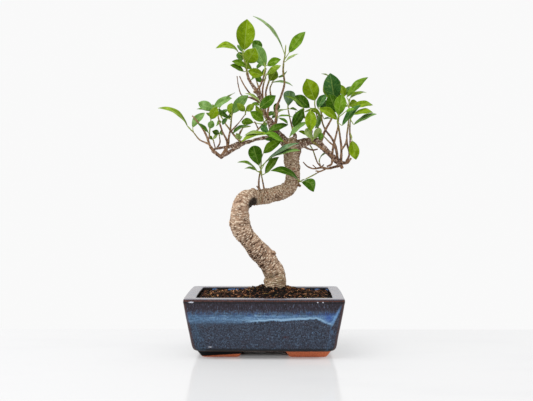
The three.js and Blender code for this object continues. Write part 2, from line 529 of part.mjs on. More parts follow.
// Leaves: [share of the stem where the stalk leaves it, foot, tip, width seen, turn, arch, bend,
// round-ended].
// Shoots: twig they grow on, then the stem's further stations, then colour.
const SHOOTS = {
  shoot_top_left: {
    on: "topLeft", green: 0x7f9a1c,
    stem: [[-23, 342, -1], [-25.5, 351, -2], [-26, 357, -2.5]],
    leaves: [
      [0.95, [-24.5, 359, -3], [-21, 396, -6], 22.5, 1, 1.5],
      [0.8, [-31, 356, -6], [-58, 362, -18], 7, 1, 6],
      [0.9, [-13, 358, 14], [-6, 370.5, 24], 13, 1, 1],
      [0.35, [-21, 344, -8], [-11, 361, -19], 18.5, 1, 1],
      [0.45, [-22, 339, -8], [-39, 346, -14], 7, 1, 1.5],
      [0.55, [-27, 346, 8], [-31, 357, 16], 9, -1, 1],
      [0.2, [-25, 333.5, -6], [-41, 341.6, -12], 6.5, 1, 1.5],
      [0.85, [-26.5, 356.5, 6], [-32.5, 365.5, 10], 5, 1, 0.5],
    ],
  },
  shoot_top_middle: {
    on: "topMiddle", green: 0x86a37c,
    stem: [[0.5, 338, -12.5], [0, 342, -13]],
    leaves: [
      [0.8, [1, 339.5, -13], [-13, 366, -2], 16.5, 1, 1.5],
      [0.9, [3, 341, -14], [19, 348, -24], 9, 1, 1.5],
      [0.7, [-2, 329.5, -17], [-20, 334.5, -24], 11, 1, 1],
    ],
  },
  shoot_top_second: {
    on: "topSecond", green: 0x8fae1c,
    stem: [[1, 327, -1], [1.5, 329.5, -1.5]],
    leaves: [
      [0.8, [2.5, 329.5, -2], [19, 341, -6], 7.5, 1, 0.5],
      [0.5, [-3, 321, 5], [-11, 328, 10], 7, 1, 0.5],
    ],
  },
  shoot_top_third: {
    on: "topThird", green: 0x5d7a12,
    stem: [[6, 324, 10.5], [7, 327, 11]],
    leaves: [
      [0.7, [5.5, 322.5, 6], [14, 335, 12], 12, 1, 1],
    ],
  },
  shoot_top_yellow: {
    on: "topYellow", green: 0x8fa850,
    stem: [[10, 322.5, 18], [11, 324, 18.5]],
    leaves: [
      [0.5, [8.5, 320.5, 22], [33.5, 317, 22], 2.6, 1, 2],
      [0.8, [16, 327, 26], [27, 334, 33], 3, -1, 0.8],
    ],
  },
  shoot_top_tall: {
    on: "topTall", green: 0x8aa860,
    stem: [[24, 352, 7], [24.6, 358, 6.5], [25, 363, 6]],
    leaves: [
      [0.55, [21.6, 360, 4], [-13, 400.5, -6], 3.6, 1, 4.5],
      [0.35, [29, 356, 4], [48, 381, -3], 12, 1, 0.5],
      [0.2, [26, 346.5, 10], [40, 355, 18], 3, 1, 0.5],
    ],
  },
  shoot_top_low: {
    on: "topLow", green: 0x4c7010,
    stem: [[-5, 290, -15], [-5.5, 291.5, -16.5]],
    leaves: [
      [0.6, [-5.5, 290, -18], [13, 305, -27], 12.5, 1, 1],
      [0.7, [-6, 298, -18], [-23, 308, -17], 3.2, 1, 1.2],
      [0.3, [-6, 293.5, -10], [-15.2, 295.8, -6], 4.5, 1, 0.5],
    ],
  },
  shoot_left_out: {
    on: "leftOut", green: 0x8fa83a,
    stem: [[-88, 264, 9], [-90.5, 267, 8.5]],
    leaves: [
      [0.7, [-92, 268, 7], [-127, 291, -4], 5.6, 1, 6.5],
      [0.3, [-86, 267, 13], [-72, 285, 22], 9.5, 1, 2],
    ],
  },
  shoot_left_young: {
    on: "leftYoung", green: 0x76961c,
    stem: [[-65.5, 265, -25], [-64.5, 272, -26], [-64.3, 276, -26.5]],
    leaves: [
      [0.9, [-64.5, 277, -27], [-57, 291.5, -33], 10.5, 1, 1],
      [0.25, [-66, 266, -28], [-62, 275, -31], 8, 1, 0.5],
      [0.15, [-67.2, 260.5, -26], [-80, 272, -29], 4.2, 1, 0.8],
    ],
  },
  shoot_left_middle: {
    on: "leftMiddle", green: 0x7fa078,
    stem: [[-57.5, 288, -19.5], [-58, 290, -20]],
    leaves: [
      [0.5, [-61, 288, -17], [-79.5, 297, -10], 11, 1, 1],
      [0.2, [-63, 286, -12], [-81, 289.5, -4], 4, 1, 1],
      [0.7, [-62, 289.5, -20], [-39.5, 302.5, -28], 8.6, 1, 1.5],
      [0.3, [-53, 292, -14], [-36, 309, -4], 2.6, 1, 1],
    ],
  },
  shoot_left_inner: {
    on: "leftInner", green: 0x5c8428,
    stem: [[-39.5, 279, 10], [-39, 283, 10.5], [-39, 286, 10.5]],
    leaves: [
      [0.85, [-38.5, 284, 11], [-20, 305.5, 3], 12.5, 1, 1.5],
      [0.6, [-42, 283.5, 12], [-39.5, 296.5, 20], 8, -1, 1],
      [0.15, [-42, 278, 4], [-55, 289.5, -5], 6, -1, 1],
      [0.25, [-45, 278, 15], [-51, 270.5, 22], 5, 1, 0.5],
    ],
  },
  shoot_left_fork: {
    on: "leftFork", green: 0x9cb048,
    stem: [[-23, 284, -1.5], [-22.7, 286, -2]],
    leaves: [
      [0.8, [-23.5, 286.5, -3], [-33, 295.5, -12], 8, 1, 0.8],
      [0.8, [-22, 286.5, -3], [-12.5, 295, -12], 8, 1, 0.8],
    ],
  },
  shoot_left_rise: {
    on: "leftRise", green: 0x5d8a38,
    stem: [[0.5, 274, -3], [1.5, 276, -3.2]],
    leaves: [
      [0.4, [-1, 274.5, -5], [-17.2, 286, -12], 10.5, 1, 1],
      [0.2, [-13.5, 273, 12], [-28, 274, 22], 9, 1, 1],
    ],
  },
  shoot_left_dark: {
    on: "leftDark", green: 0x4d7418,
    stem: [[-24.5, 268.5, 10], [-23.5, 269.5, 10]],
    leaves: [
      [0.4, [-17, 268.5, -4], [-38, 260, -14], 4, 1, 3],
    ],
  },
  shoot_left_low: {
    on: "leftLow", green: 0x8fac70,
    stem: [[-30, 252, -4.5], [-30.5, 253, -5]],
    leaves: [
      [0.7, [-30.5, 254, -6], [-34, 260, -14], 6.5, 1, 0.5],
      [0.9, [-30, 253, -8], [-26.8, 256, -14], 3, 1, 0.3],
    ],
  },
  shoot_left_small_a: {
    on: "leftSmallA", green: 0x5e7f58,
    stem: [[-54.5, 258.5, 13.5]],
    leaves: [
      [0.7, [-54.5, 260, 13], [-62.5, 262.5, 2], 7, 1, 0.5],
      [0.7, [-54, 260.5, 15], [-50.5, 261, 26], 7, 1, 0.5],
    ],
  },
  shoot_left_small_b: {
    on: "leftSmallB", green: 0x8aa85a,
    stem: [[-62, 252.5, 6.2]],
    leaves: [
      [0.7, [-62.5, 253, 6], [-67, 257, 0], 4, 1, 0.4],
      [0.7, [-61.5, 254, 6], [-56.5, 257.5, 0], 4, 1, 0.4],
    ],
  },
  shoot_right_outer: {
    on: "rightOuter", green: 0x7c9a30,
    stem: [[100.5, 282, 15], [100.5, 292, 16], [100.5, 299, 16.5]],
    leaves: [
      [0.95, [98, 303, 16], [122.5, 327, 8], 9, 1, 1.5],
      [0.85, [102, 302, 18], [121, 309, 27], 4.5, 1, 2],
      [0.6, [101, 292, 20], [110, 298, 30], 10, 1, 0.5],
      [0.7, [94.5, 303, 22], [90.5, 318, 30], 9, 1, 1],
    ],
  },
  shoot_right_outer_b: {
    on: "rightOuterB", green: 0x7f9c28,
    stem: [[103, 281, -7], [103.5, 287, -8]],
    leaves: [
      [0.8, [105, 290, -9], [129, 294, -2], 8, 1, 3],
      [0.4, [106, 282, -10], [129, 285, -16], 6.5, 1, 2.5],
      [0.3, [106.3, 270.5, -11], [133, 283.5, -20], 5.5, 1, 1],
    ],
  },
  shoot_right_hanging: {
    on: "rightOuterHang", green: 0x7a9f10,
    stem: [[103.5, 256.5, -10]],
    leaves: [[0.7, [104.2, 251, -11], [109, 228.5, -13], 12.5, 1, 1]],
  },
  shoot_right_up: {
    on: "rightUp", green: 0x7f9f38,
    stem: [[87.3, 276, -17], [87.5, 280, -17.5]],
    leaves: [
      [0.4, [86.5, 276.5, -19], [65, 289.5, -27], 10, 1, 2.5],
      [0.8, [88, 281, -17], [92, 307, -12], 14, 1, 1.5],
      [0.1, [92.5, 269.5, -26], [114, 294, -36], 8, 1, 1.5],
      [0.9, [96, 285.5, -34], [108, 288.5, -38], 3.4, 1, 1],
    ],
  },
  shoot_right_tall: {
    on: "rightTall", green: 0x3f6a30,
    stem: [[88, 290, 24], [85.5, 294, 24.5], [84.5, 297, 24.5]],
    leaves: [
      [0.95, [83, 300, 24], [78, 331.5, 17], 21.5, 1, 1.5],
      [0.1, [86, 285, 10], [77, 306.5, 2], 18, -1, 1.5],
      [0.9, [76.5, 328, 26], [67.5, 331, 30], 1.6, 1, 0.4],
    ],
  },
  shoot_right_inner: {
    on: "rightInner", green: 0x5f8432,
    stem: [[66.5, 287, -1], [66, 290, -1.5]],
    leaves: [
      [0.8, [63.5, 290, 2], [72.5, 307, 10], 9.5, 1, 1],
      [0.6, [71, 277, 9], [79.5, 277, 14], 2, 1, 1],
      [0.3, [68, 284, 8], [74, 300, 14], 8, 1, 1],
    ],
  },
  shoot_right_fore: {
    on: "foreTwig", green: 0x7f9c0c,
    stem: [[60, 292, 9.5], [59.5, 296, 9]],
    leaves: [
      [0.9, [60, 299, 8], [50, 325, 2], 20, 1, 1],
      [0.4, [53.5, 290.5, 24], [36, 305, 30], 14, 1, 1.5],
      [0.1, [55, 287.5, -20], [55, 262.5, -27], 13.5, 1, 2],
      [0.3, [65.5, 284.5, 4], [60.5, 265.5, 0], 6, 1, 1],
      [0.4, [47.5, 285.5, -8], [67.3, 276, -8], 5, 1, 7],
    ],
  },
  shoot_right_shade: {
    on: "shadeTwig", green: 0x456c12,
    stem: [[46, 283, 17], [45, 285, 17]],
    leaves: [
      [0.8, [47, 289, 13], [24.5, 305, 8], 4, 1, 2],
      [0.1, [46, 290, 6], [34.5, 267, -2], 9, 1, 1.5],
    ],
  },
  shoot_right_fan: {
    on: "rightPale", green: 0xa9c070,
    stem: [[56.6, 252, -12.5], [57, 256, -14.5]],
    leaves: [
      [0.5, [56.5, 252.6, -15], [49.4, 265.6, -21], 8.6, 1, 0.5, 0, true],
      [0.5, [58, 252.6, -15], [66.4, 265.8, -21], 8.6, -1, 0.5, 0, true],
      [0.95, [51, 257.5, -15], [40.5, 262.5, -18], 4, 1, 1],
    ],
  },
  shoot_right_slant: {
    on: "rightSlant", green: 0x456a14,
    stem: [[68.5, 258.5, -24.5]],
    leaves: [[0.7, [67.5, 261, -25], [66, 251.5, -31], 6.2, 1, 0.5]],
  },
  shoot_right_low: {
    on: "lowGreen", green: 0x7d9860,
    stem: [[57.5, 240, 20], [54, 246, 21]],
    leaves: [],
  },
  shoot_right_bud: {
    on: "lowBud", green: 0x6f8c50,
    stem: [[65.3, 228, 8.5]],
    leaves: [[0.7, [65.8, 229.5, 8], [73.5, 236.5, 2], 1.8, 1, 1.2]],
  },
  shoot_low_thin: {
    on: "lowThin", green: 0xb4bc88,
    stem: [[56, 209, 7], [50, 206, 6]],
    leaves: [[0.9, [48, 205.2, 5], [43.5, 203, 2], 1.4, 1, 0.2]],
  },
  shoot_centre_up: {
    on: "centreUp", green: 0x7b9a80,
    stem: [[27.8, 291, 13], [27.6, 293, 13]],
    leaves: [
      [0.8, [28, 292, 16], [30, 311, 24], 14.5, 1, 0.5, 0, true],
      [0.3, [25, 288.5, 11], [10, 281, 6], 3.4, 1, 1.5],
      [0.5, [30, 289, 15], [39.5, 287, 22], 3, 1, 1],
    ],
  },
  shoot_centre_fork: {
    on: "centreFork", green: 0x6f9a52,
    stem: [[33, 265.5, -11]],
    leaves: [
      [0.8, [34, 268, -10], [46, 289, -12], 8.5, -1, 1.5],
      [0.4, [29.5, 255.5, -16], [51, 274, -19], 6, 1, 1.5],
    ],
  },
  shoot_centre: {
    on: "centreLeft", green: 0x4c8220,
    stem: [[12, 257, -13], [8, 259, -15], [5, 260, -16]],
    leaves: [
      [0.45, [22.5, 250, -16], [0, 260, -24], 7, 1, 1.5],
      [0.9, [8, 258.5, -20], [-28, 250.5, -30], 5.2, 1, 3.8],
      [0.8, [4, 261.5, -14], [28, 271, -8], 8, 1, 1],
      [0.9, [3, 259, -18], [-24, 258, -24], 4, 1, 2],
      [0.5, [19, 250, -6.5], [0, 253, -5], 6, 1, 1],
      [0.95, [3.9, 260.4, -12], [-4.4, 269.9, -6], 8, 1, 1],
    ],
  },
  shoot_centre_small: {
    on: "topLowB", green: 0x5d8236,
    stem: [[15, 279, -6]],
    leaves: [
      [0.7, [16, 278.5, -7], [27.5, 271.5, -14], 3.4, 1, 1],
      [0.7, [16, 280, -5], [34, 279.5, 2], 2, 1, 1],
    ],
  },
  shoot_centre_behind: {
    on: "topLowC", green: 0x4f7a24,
    stem: [[11.3, 286, 6]],
    leaves: [[0.7, [11, 287, 8], [17, 295.5, 13], 8, 1, 1]],
  },
  shoot_sprig: {
    on: "sprigMain", green: 0x55801c,
    stem: [[-4.5, 220, -2.5], [-4.2, 227, -2.5], [-4, 233, -2.5]],
    leaves: [
      [0.35, [-6.5, 221, -4], [-14, 245, -8], 16.5, -1, 1, 0, true],
      [0.1, [-9, 214.5, -5], [-32, 226, -12], 3, 1, 3.5],
      [0.3, [0, 224, -8], [40, 249.5, -28], 4.6, 1, 2.5],
      [0.5, [4, 229, -12], [42, 240.5, -36], 4, 1, 2],
      [0.9, [-1.5, 236.5, -6], [19, 250.5, -14], 11, 1, 2],
    ],
  },
  shoot_sprig_thin: {
    on: "sprigThin", green: 0x6d8c2c,
    stem: [[-3.7, 211, 4], [-3.8, 214, 4]],
    leaves: [
      [0.5, [0.5, 212, 2], [16.5, 232, -6], 9, 1, 1],
      [0.8, [-9, 215, 5], [-24, 218, 10], 3.4, 1, 2],
    ],
  },
  shoot_nub: {
    on: "nubSprig", green: 0x466f10,
    stem: [[43, 203, -12.5]],
    leaves: [
      [0.7, [40, 204.5, -14], [7.5, 216, -26], 8, 1, 5],
      [0.7, [44.5, 202, -12], [58.5, 190, -16], 13, -1, 1, 5],
    ],
  },
};

// Shoots on the far side, leaved by the golden angle: twig, colour, leaves, longest leaf.
const BACK_SHOOTS = {
  shoot_back_left: { on: "backLeft", green: 0x56802a, count: 6, longest: 16 },
  shoot_back_centre: { on: "backCentre", green: 0x4f7a24, count: 6, longest: 17 },
  shoot_back_right: { on: "backRight", green: 0x587f26, count: 6, longest: 22 },
  shoot_back_top: { on: "backTop", green: 0x6a8c2a, count: 5, longest: 15 },
};
const GOLDEN_ANGLE = Math.PI * (3 - Math.sqrt(5));

function stemTube(points, startRadius, endRadius) {
  const curve = new THREE.CatmullRomCurve3(points, false, "centripetal");
  const count = Math.max(2, points.length);
  const rings = [];
  let across = new THREE.Vector3(0, 1, 0);
  for (let i = 0; i <= count + 1; i += 1) {
    const u = Math.min(1, i / count);
    const along = curve.getTangent(u);
    across = across.clone().addScaledVector(along, -across.dot(along)).normalize();
    const other = new THREE.Vector3().crossVectors(along, across);
    const bud = i > count;
    const radius = bud ? 0.25 : startRadius + (endRadius - startRadius) * u;
    const centre = curve.getPoint(u).addScaledVector(along, bud ? 2.6 : 0);
    const ring = [];
    for (let j = 0; j < STEM_SIDES; j += 1) {
      const angle = 2 * Math.PI * j / STEM_SIDES;
      ring.push(centre.clone()
        .addScaledVector(across, radius * Math.cos(angle))
        .addScaledVector(other, radius * Math.sin(angle)));
    }
    rings.push(ring);
  }
  return { solid: solidFrom(skin(rings)), curve };
}

// Where a twig's green shoot starts: just clear of the twig's end, in the twig's direction.
function twigEnd(name) {
  const stations = TWIGS[name];
  const last = stations.length - 1;
  const places = stations.map(([x, z, y]) => fromFront(x, z, y));
  const along = new THREE.CatmullRomCurve3(places, false, "centripetal").getTangent(1);
  const radius = stations[last][3] / 2;
  return { place: places[last].clone().addScaledVector(along, radius * 0.35 + GAP), along, radius };
}

function shootSolid(spec) {
  const end = twigEnd(spec.on);
  const points = [end.place, end.place.clone().add(end.along),
    ...spec.stem.map(([x, z, y]) => fromFront(x, z, y))];
  const { solid, curve } = stemTube(points, Math.max(0.8, end.radius * 0.9), 0.7);
  const pieces = [solid];
  for (const [share, foot, tip, seen, turn, arch, bend = 0, round = false] of spec.leaves) {
    const ends = [fromFront(...foot), fromFront(...tip)];
    pieces.push(leaf(curve.getPoint(share), ...ends, seen, turn, arch, bend, round));
  }
  return grown(pieces);
}

function backShootSolid({ on, count, longest }) {
  const end = twigEnd(on);
  const rise = end.along.clone().add(new THREE.Vector3(0, 0, 0.2)).normalize();
  const points = [0, 8, 16, 22].map((d) => end.place.clone().addScaledVector(rise, d));
  const { solid, curve } = stemTube(points, Math.max(0.8, end.radius * 0.9), 0.7);
  const pieces = [solid];
  const across = new THREE.Vector3(0, 0, 1).addScaledVector(rise, -rise.z).normalize();
  const other = new THREE.Vector3().crossVectors(rise, across);
  for (let i = 0; i < count; i += 1) {
    const share = 0.12 + 0.86 * i / (count - 1);
    const angle = GOLDEN_ANGLE * i + 0.6;
    const out = across.clone().multiplyScalar(Math.cos(angle)).addScaledVector(other, Math.sin(angle));
    const direction = out.clone().addScaledVector(rise, 0.55 + 0.5 * share).normalize();
    const length = longest * (0.72 + 0.28 * Math.sin(Math.PI * share));
    const root = curve.getPoint(share);
    const foot = root.clone().addScaledVector(direction, 6);
    const tip = foot.clone().addScaledVector(direction, length);
    pieces.push(leaf(root, foot, tip, length * 0.36, i % 2 ? 1 : -1, 1.2, 0, false));
  }
  return grown(pieces);
}

// ---- the whole ----
const group = new THREE.Group();
group.name = "bonsai_tree_in_a_pot";

function add(name, solid, colour, roughness) {
  const geometry = geometryFrom(solid);
  const material = new THREE.MeshStandardMaterial({ color: colour, roughness, metalness: 0 });
  const mesh = new THREE.Mesh(geometry, material);
  mesh.name = name;
  group.add(mesh);
}

add("pot", potSolid(), 0x3d4a66, 0.15);
add("drain_screen_left", screenSolid(-HOLE_X), 0x2b2b2b, 0.6);
add("drain_screen_right", screenSolid(HOLE_X), 0x2b2b2b, 0.6);
add("soil", soilSolid(soilHole()), 0x3c2416, 0.95);
add("trunk", woodSolid(), 0x9a8270, 0.85);
for (const [name, spec] of Object.entries(SHOOTS)) {
  add(name, shootSolid(spec), spec.green, 0.45);
}
for (const [name, spec] of Object.entries(BACK_SHOOTS)) {
  add(name, backShootSolid(spec), spec.green, 0.45);
}

// The origin is the middle of the bounding box, on the ground.
const box = new THREE.Box3().setFromObject(group);
for (const mesh of group.children) {
  mesh.geometry.translate(-(box.min.x + box.max.x) / 2, -(box.min.y + box.max.y) / 2, -box.min.z);
}

export default group;
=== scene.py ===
"""Bonsai fig in a glazed pot: bark, leaves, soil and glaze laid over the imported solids.

Every length is in millimetres, measured from the middle of the pot's foot: x to the right,
y to the back, z up. Surface.build() turns that into the metres of the shared frame.
"""
import math

import bmesh
import bpy
import numpy as np
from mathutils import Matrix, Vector


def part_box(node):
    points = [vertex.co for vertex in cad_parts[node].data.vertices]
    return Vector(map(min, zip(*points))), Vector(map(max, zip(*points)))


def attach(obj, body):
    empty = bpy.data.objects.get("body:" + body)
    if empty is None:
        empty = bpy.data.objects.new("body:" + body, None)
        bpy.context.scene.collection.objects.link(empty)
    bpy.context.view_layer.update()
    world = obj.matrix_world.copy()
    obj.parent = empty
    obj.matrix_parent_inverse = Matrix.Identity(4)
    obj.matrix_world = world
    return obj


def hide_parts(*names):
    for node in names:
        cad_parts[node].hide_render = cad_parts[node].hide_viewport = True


bl_info = {
    "name": "Bonsai Fig in a Pot",
    "version": (1, 0, 0),
    "blender": (4, 5, 0),
    "location": "3D View > Sidebar > Bonsai",
    "description": "Builds the bark, leaves, soil and glazed pot of a small potted tree",
    "category": "Object",
}

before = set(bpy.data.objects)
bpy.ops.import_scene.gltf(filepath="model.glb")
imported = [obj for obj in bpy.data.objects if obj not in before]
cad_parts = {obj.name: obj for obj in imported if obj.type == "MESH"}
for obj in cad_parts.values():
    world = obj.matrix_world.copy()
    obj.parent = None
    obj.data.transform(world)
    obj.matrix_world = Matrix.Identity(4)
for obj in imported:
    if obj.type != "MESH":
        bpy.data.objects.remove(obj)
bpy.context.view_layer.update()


POT_LOW, POT_HIGH = (np.array(corner) * 1000 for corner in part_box("pot"))
POT_FOOT = np.array([*(POT_LOW + POT_HIGH)[:2] / 2, 0])

# The photo's eye point, and the tilt down and the turn to the left of its view, in degrees.
EYE = np.array([14.7, -1065, 200])
EYE_TILT = 1.09
EYE_TURN = 0.675
# The pot: its rim, its four feet, how far their lower edge is worn, its floor and its holes.
RIM_LENGTH = 183
RIM_DEPTH = 130
RIM_WIDTH = 13.7
FOOT_HEIGHT = 8.2
WORN = 1.5
# A foot's inner end, outer end, inner face and outer face from the pot's middle.
FOOT_TOP = (24, 76.8, 24, 48)
FOOT_GROUND = (29.2, 71.5, 28, 42)
FLOOR_TOP = 16
HOLE_X = 38
HOLE_RADIUS = 9
# The crease where the trunk turns from up to across: its middle, and the direction across it.
CREASE = (-14, 176.5)
CREASE_ACROSS = (0.93, -0.36)
# The soil: its height at the wall, and the middle and reach of the mound on it.
SOIL_EDGE_Z = 65.5
MOUND_HEIGHT = 13
MOUND_X = 9
MOUND_REACH = (38, 32)
# Half the length and depth within which crumbs lie, and the ring round the trunk without any.
STREWN = (74.5, 48.3)
TRUNK_FOOT_X = 12.8
TRUNK_CLEAR = 13.5
# Room left between the soil and the wall, and between a twig's end and its shoot.
GAP = 0.3
GOLDEN_ANGLE = math.pi * (3 - math.sqrt(5))
# Points of an oblong ring: steps round a corner and along a side.
CORNER_STEPS = 10
SIDE_STEPS = 40
# The attribute blade on stalks and stems, which are no part of a blade.
OFF_BLADE = (9, 0, 0)

# ---- the tree, as stations [across, up, depth, diameter] seen from the front ----
TRUNK = [
    (13, 50, 0, 16), (13, 58, 0, 23), (12.8, 68, 0, 26), (12.7, 76, 0, 26), (12.7, 82, 0, 25.5),
    (12.5, 90, 0, 24.5), (8, 100, -1, 24), (1.5, 110, -2, 24), (-8, 120, -4, 23),
    (-16.5, 130, -6, 21.5), (-24.5, 140, -8, 22), (-29, 150, -9, 23.5), (-30, 160, -10, 22.5),
    (-29.5, 168.5, -11, 20.5), (-26.8, 176, -10, 20.5), (-20.5, 182, -4, 20.5),
    (-13, 183.5, 5, 19.5), (-4, 184, 9, 18.5), (9, 186.5, 9, 17.5), (20, 189.5, 6, 18),
    (29, 195, 4, 17.5), (33.5, 204, 2, 16.5), (34, 211, 1, 16), (33, 220, 0, 17), (32, 230, 0, 19),
    (32.5, 240, 0, 22), (31.5, 247, 0, 20), (29.5, 252, 0, 13),
]

LIMBS = [
    # upper trunk
    [
        (30, 242, 2, 12), (22, 252, 3, 12), (13.5, 259.5, 2, 11.5), (9.5, 268, 2, 10.4),
        (6, 274, 2, 7.6), (1.5, 281, 3, 5), (-0.8, 290, 3, 4.4), (-3, 298, 3, 4.6),
        (-8, 308, 2, 4.2), (-14, 316, 1, 3.6), (-20, 326, 0, 2.8),
    ],
    # right limb
    [
        (31, 241, -2, 14), (38, 245, -3, 13), (45.8, 248.4, -3, 11), (52, 250.2, -3, 9),
        (59, 250.8, -4, 8.6), (65, 247.8, -4, 8.6), (71, 241.8, -4, 7.4), (77, 235.9, -3, 6.4),
        (81.6, 231, -3, 5.8), (86.4, 226.3, -2, 6), (90, 222, -2, 4.5),
    ],
    # left limb
    [
        (28, 247, 0, 8), (20, 251.5, 1, 5.8), (10, 254, 2, 4.6), (0, 254.5, 3, 4.2),
        (-10, 252.5, 3, 3.8), (-20, 249.5, 2, 3.8), (-28, 246.8, 1, 4.8), (-34, 243, -1, 5.4),
        (-42, 238, -4, 4.6), (-48, 234, -6, 4), (-52, 231.5, -7, 3.8),
    ],
    # the branch beside the left limb
    [
        (-18, 250, 3, 4.4), (-30, 248.5, 6, 4.2), (-41, 244, 8, 3.6), (-52, 243, 8, 3.2),
        (-62, 240, 5, 3), (-60, 237, -3, 3), (-53, 232, -6, 3.6),
    ],
]

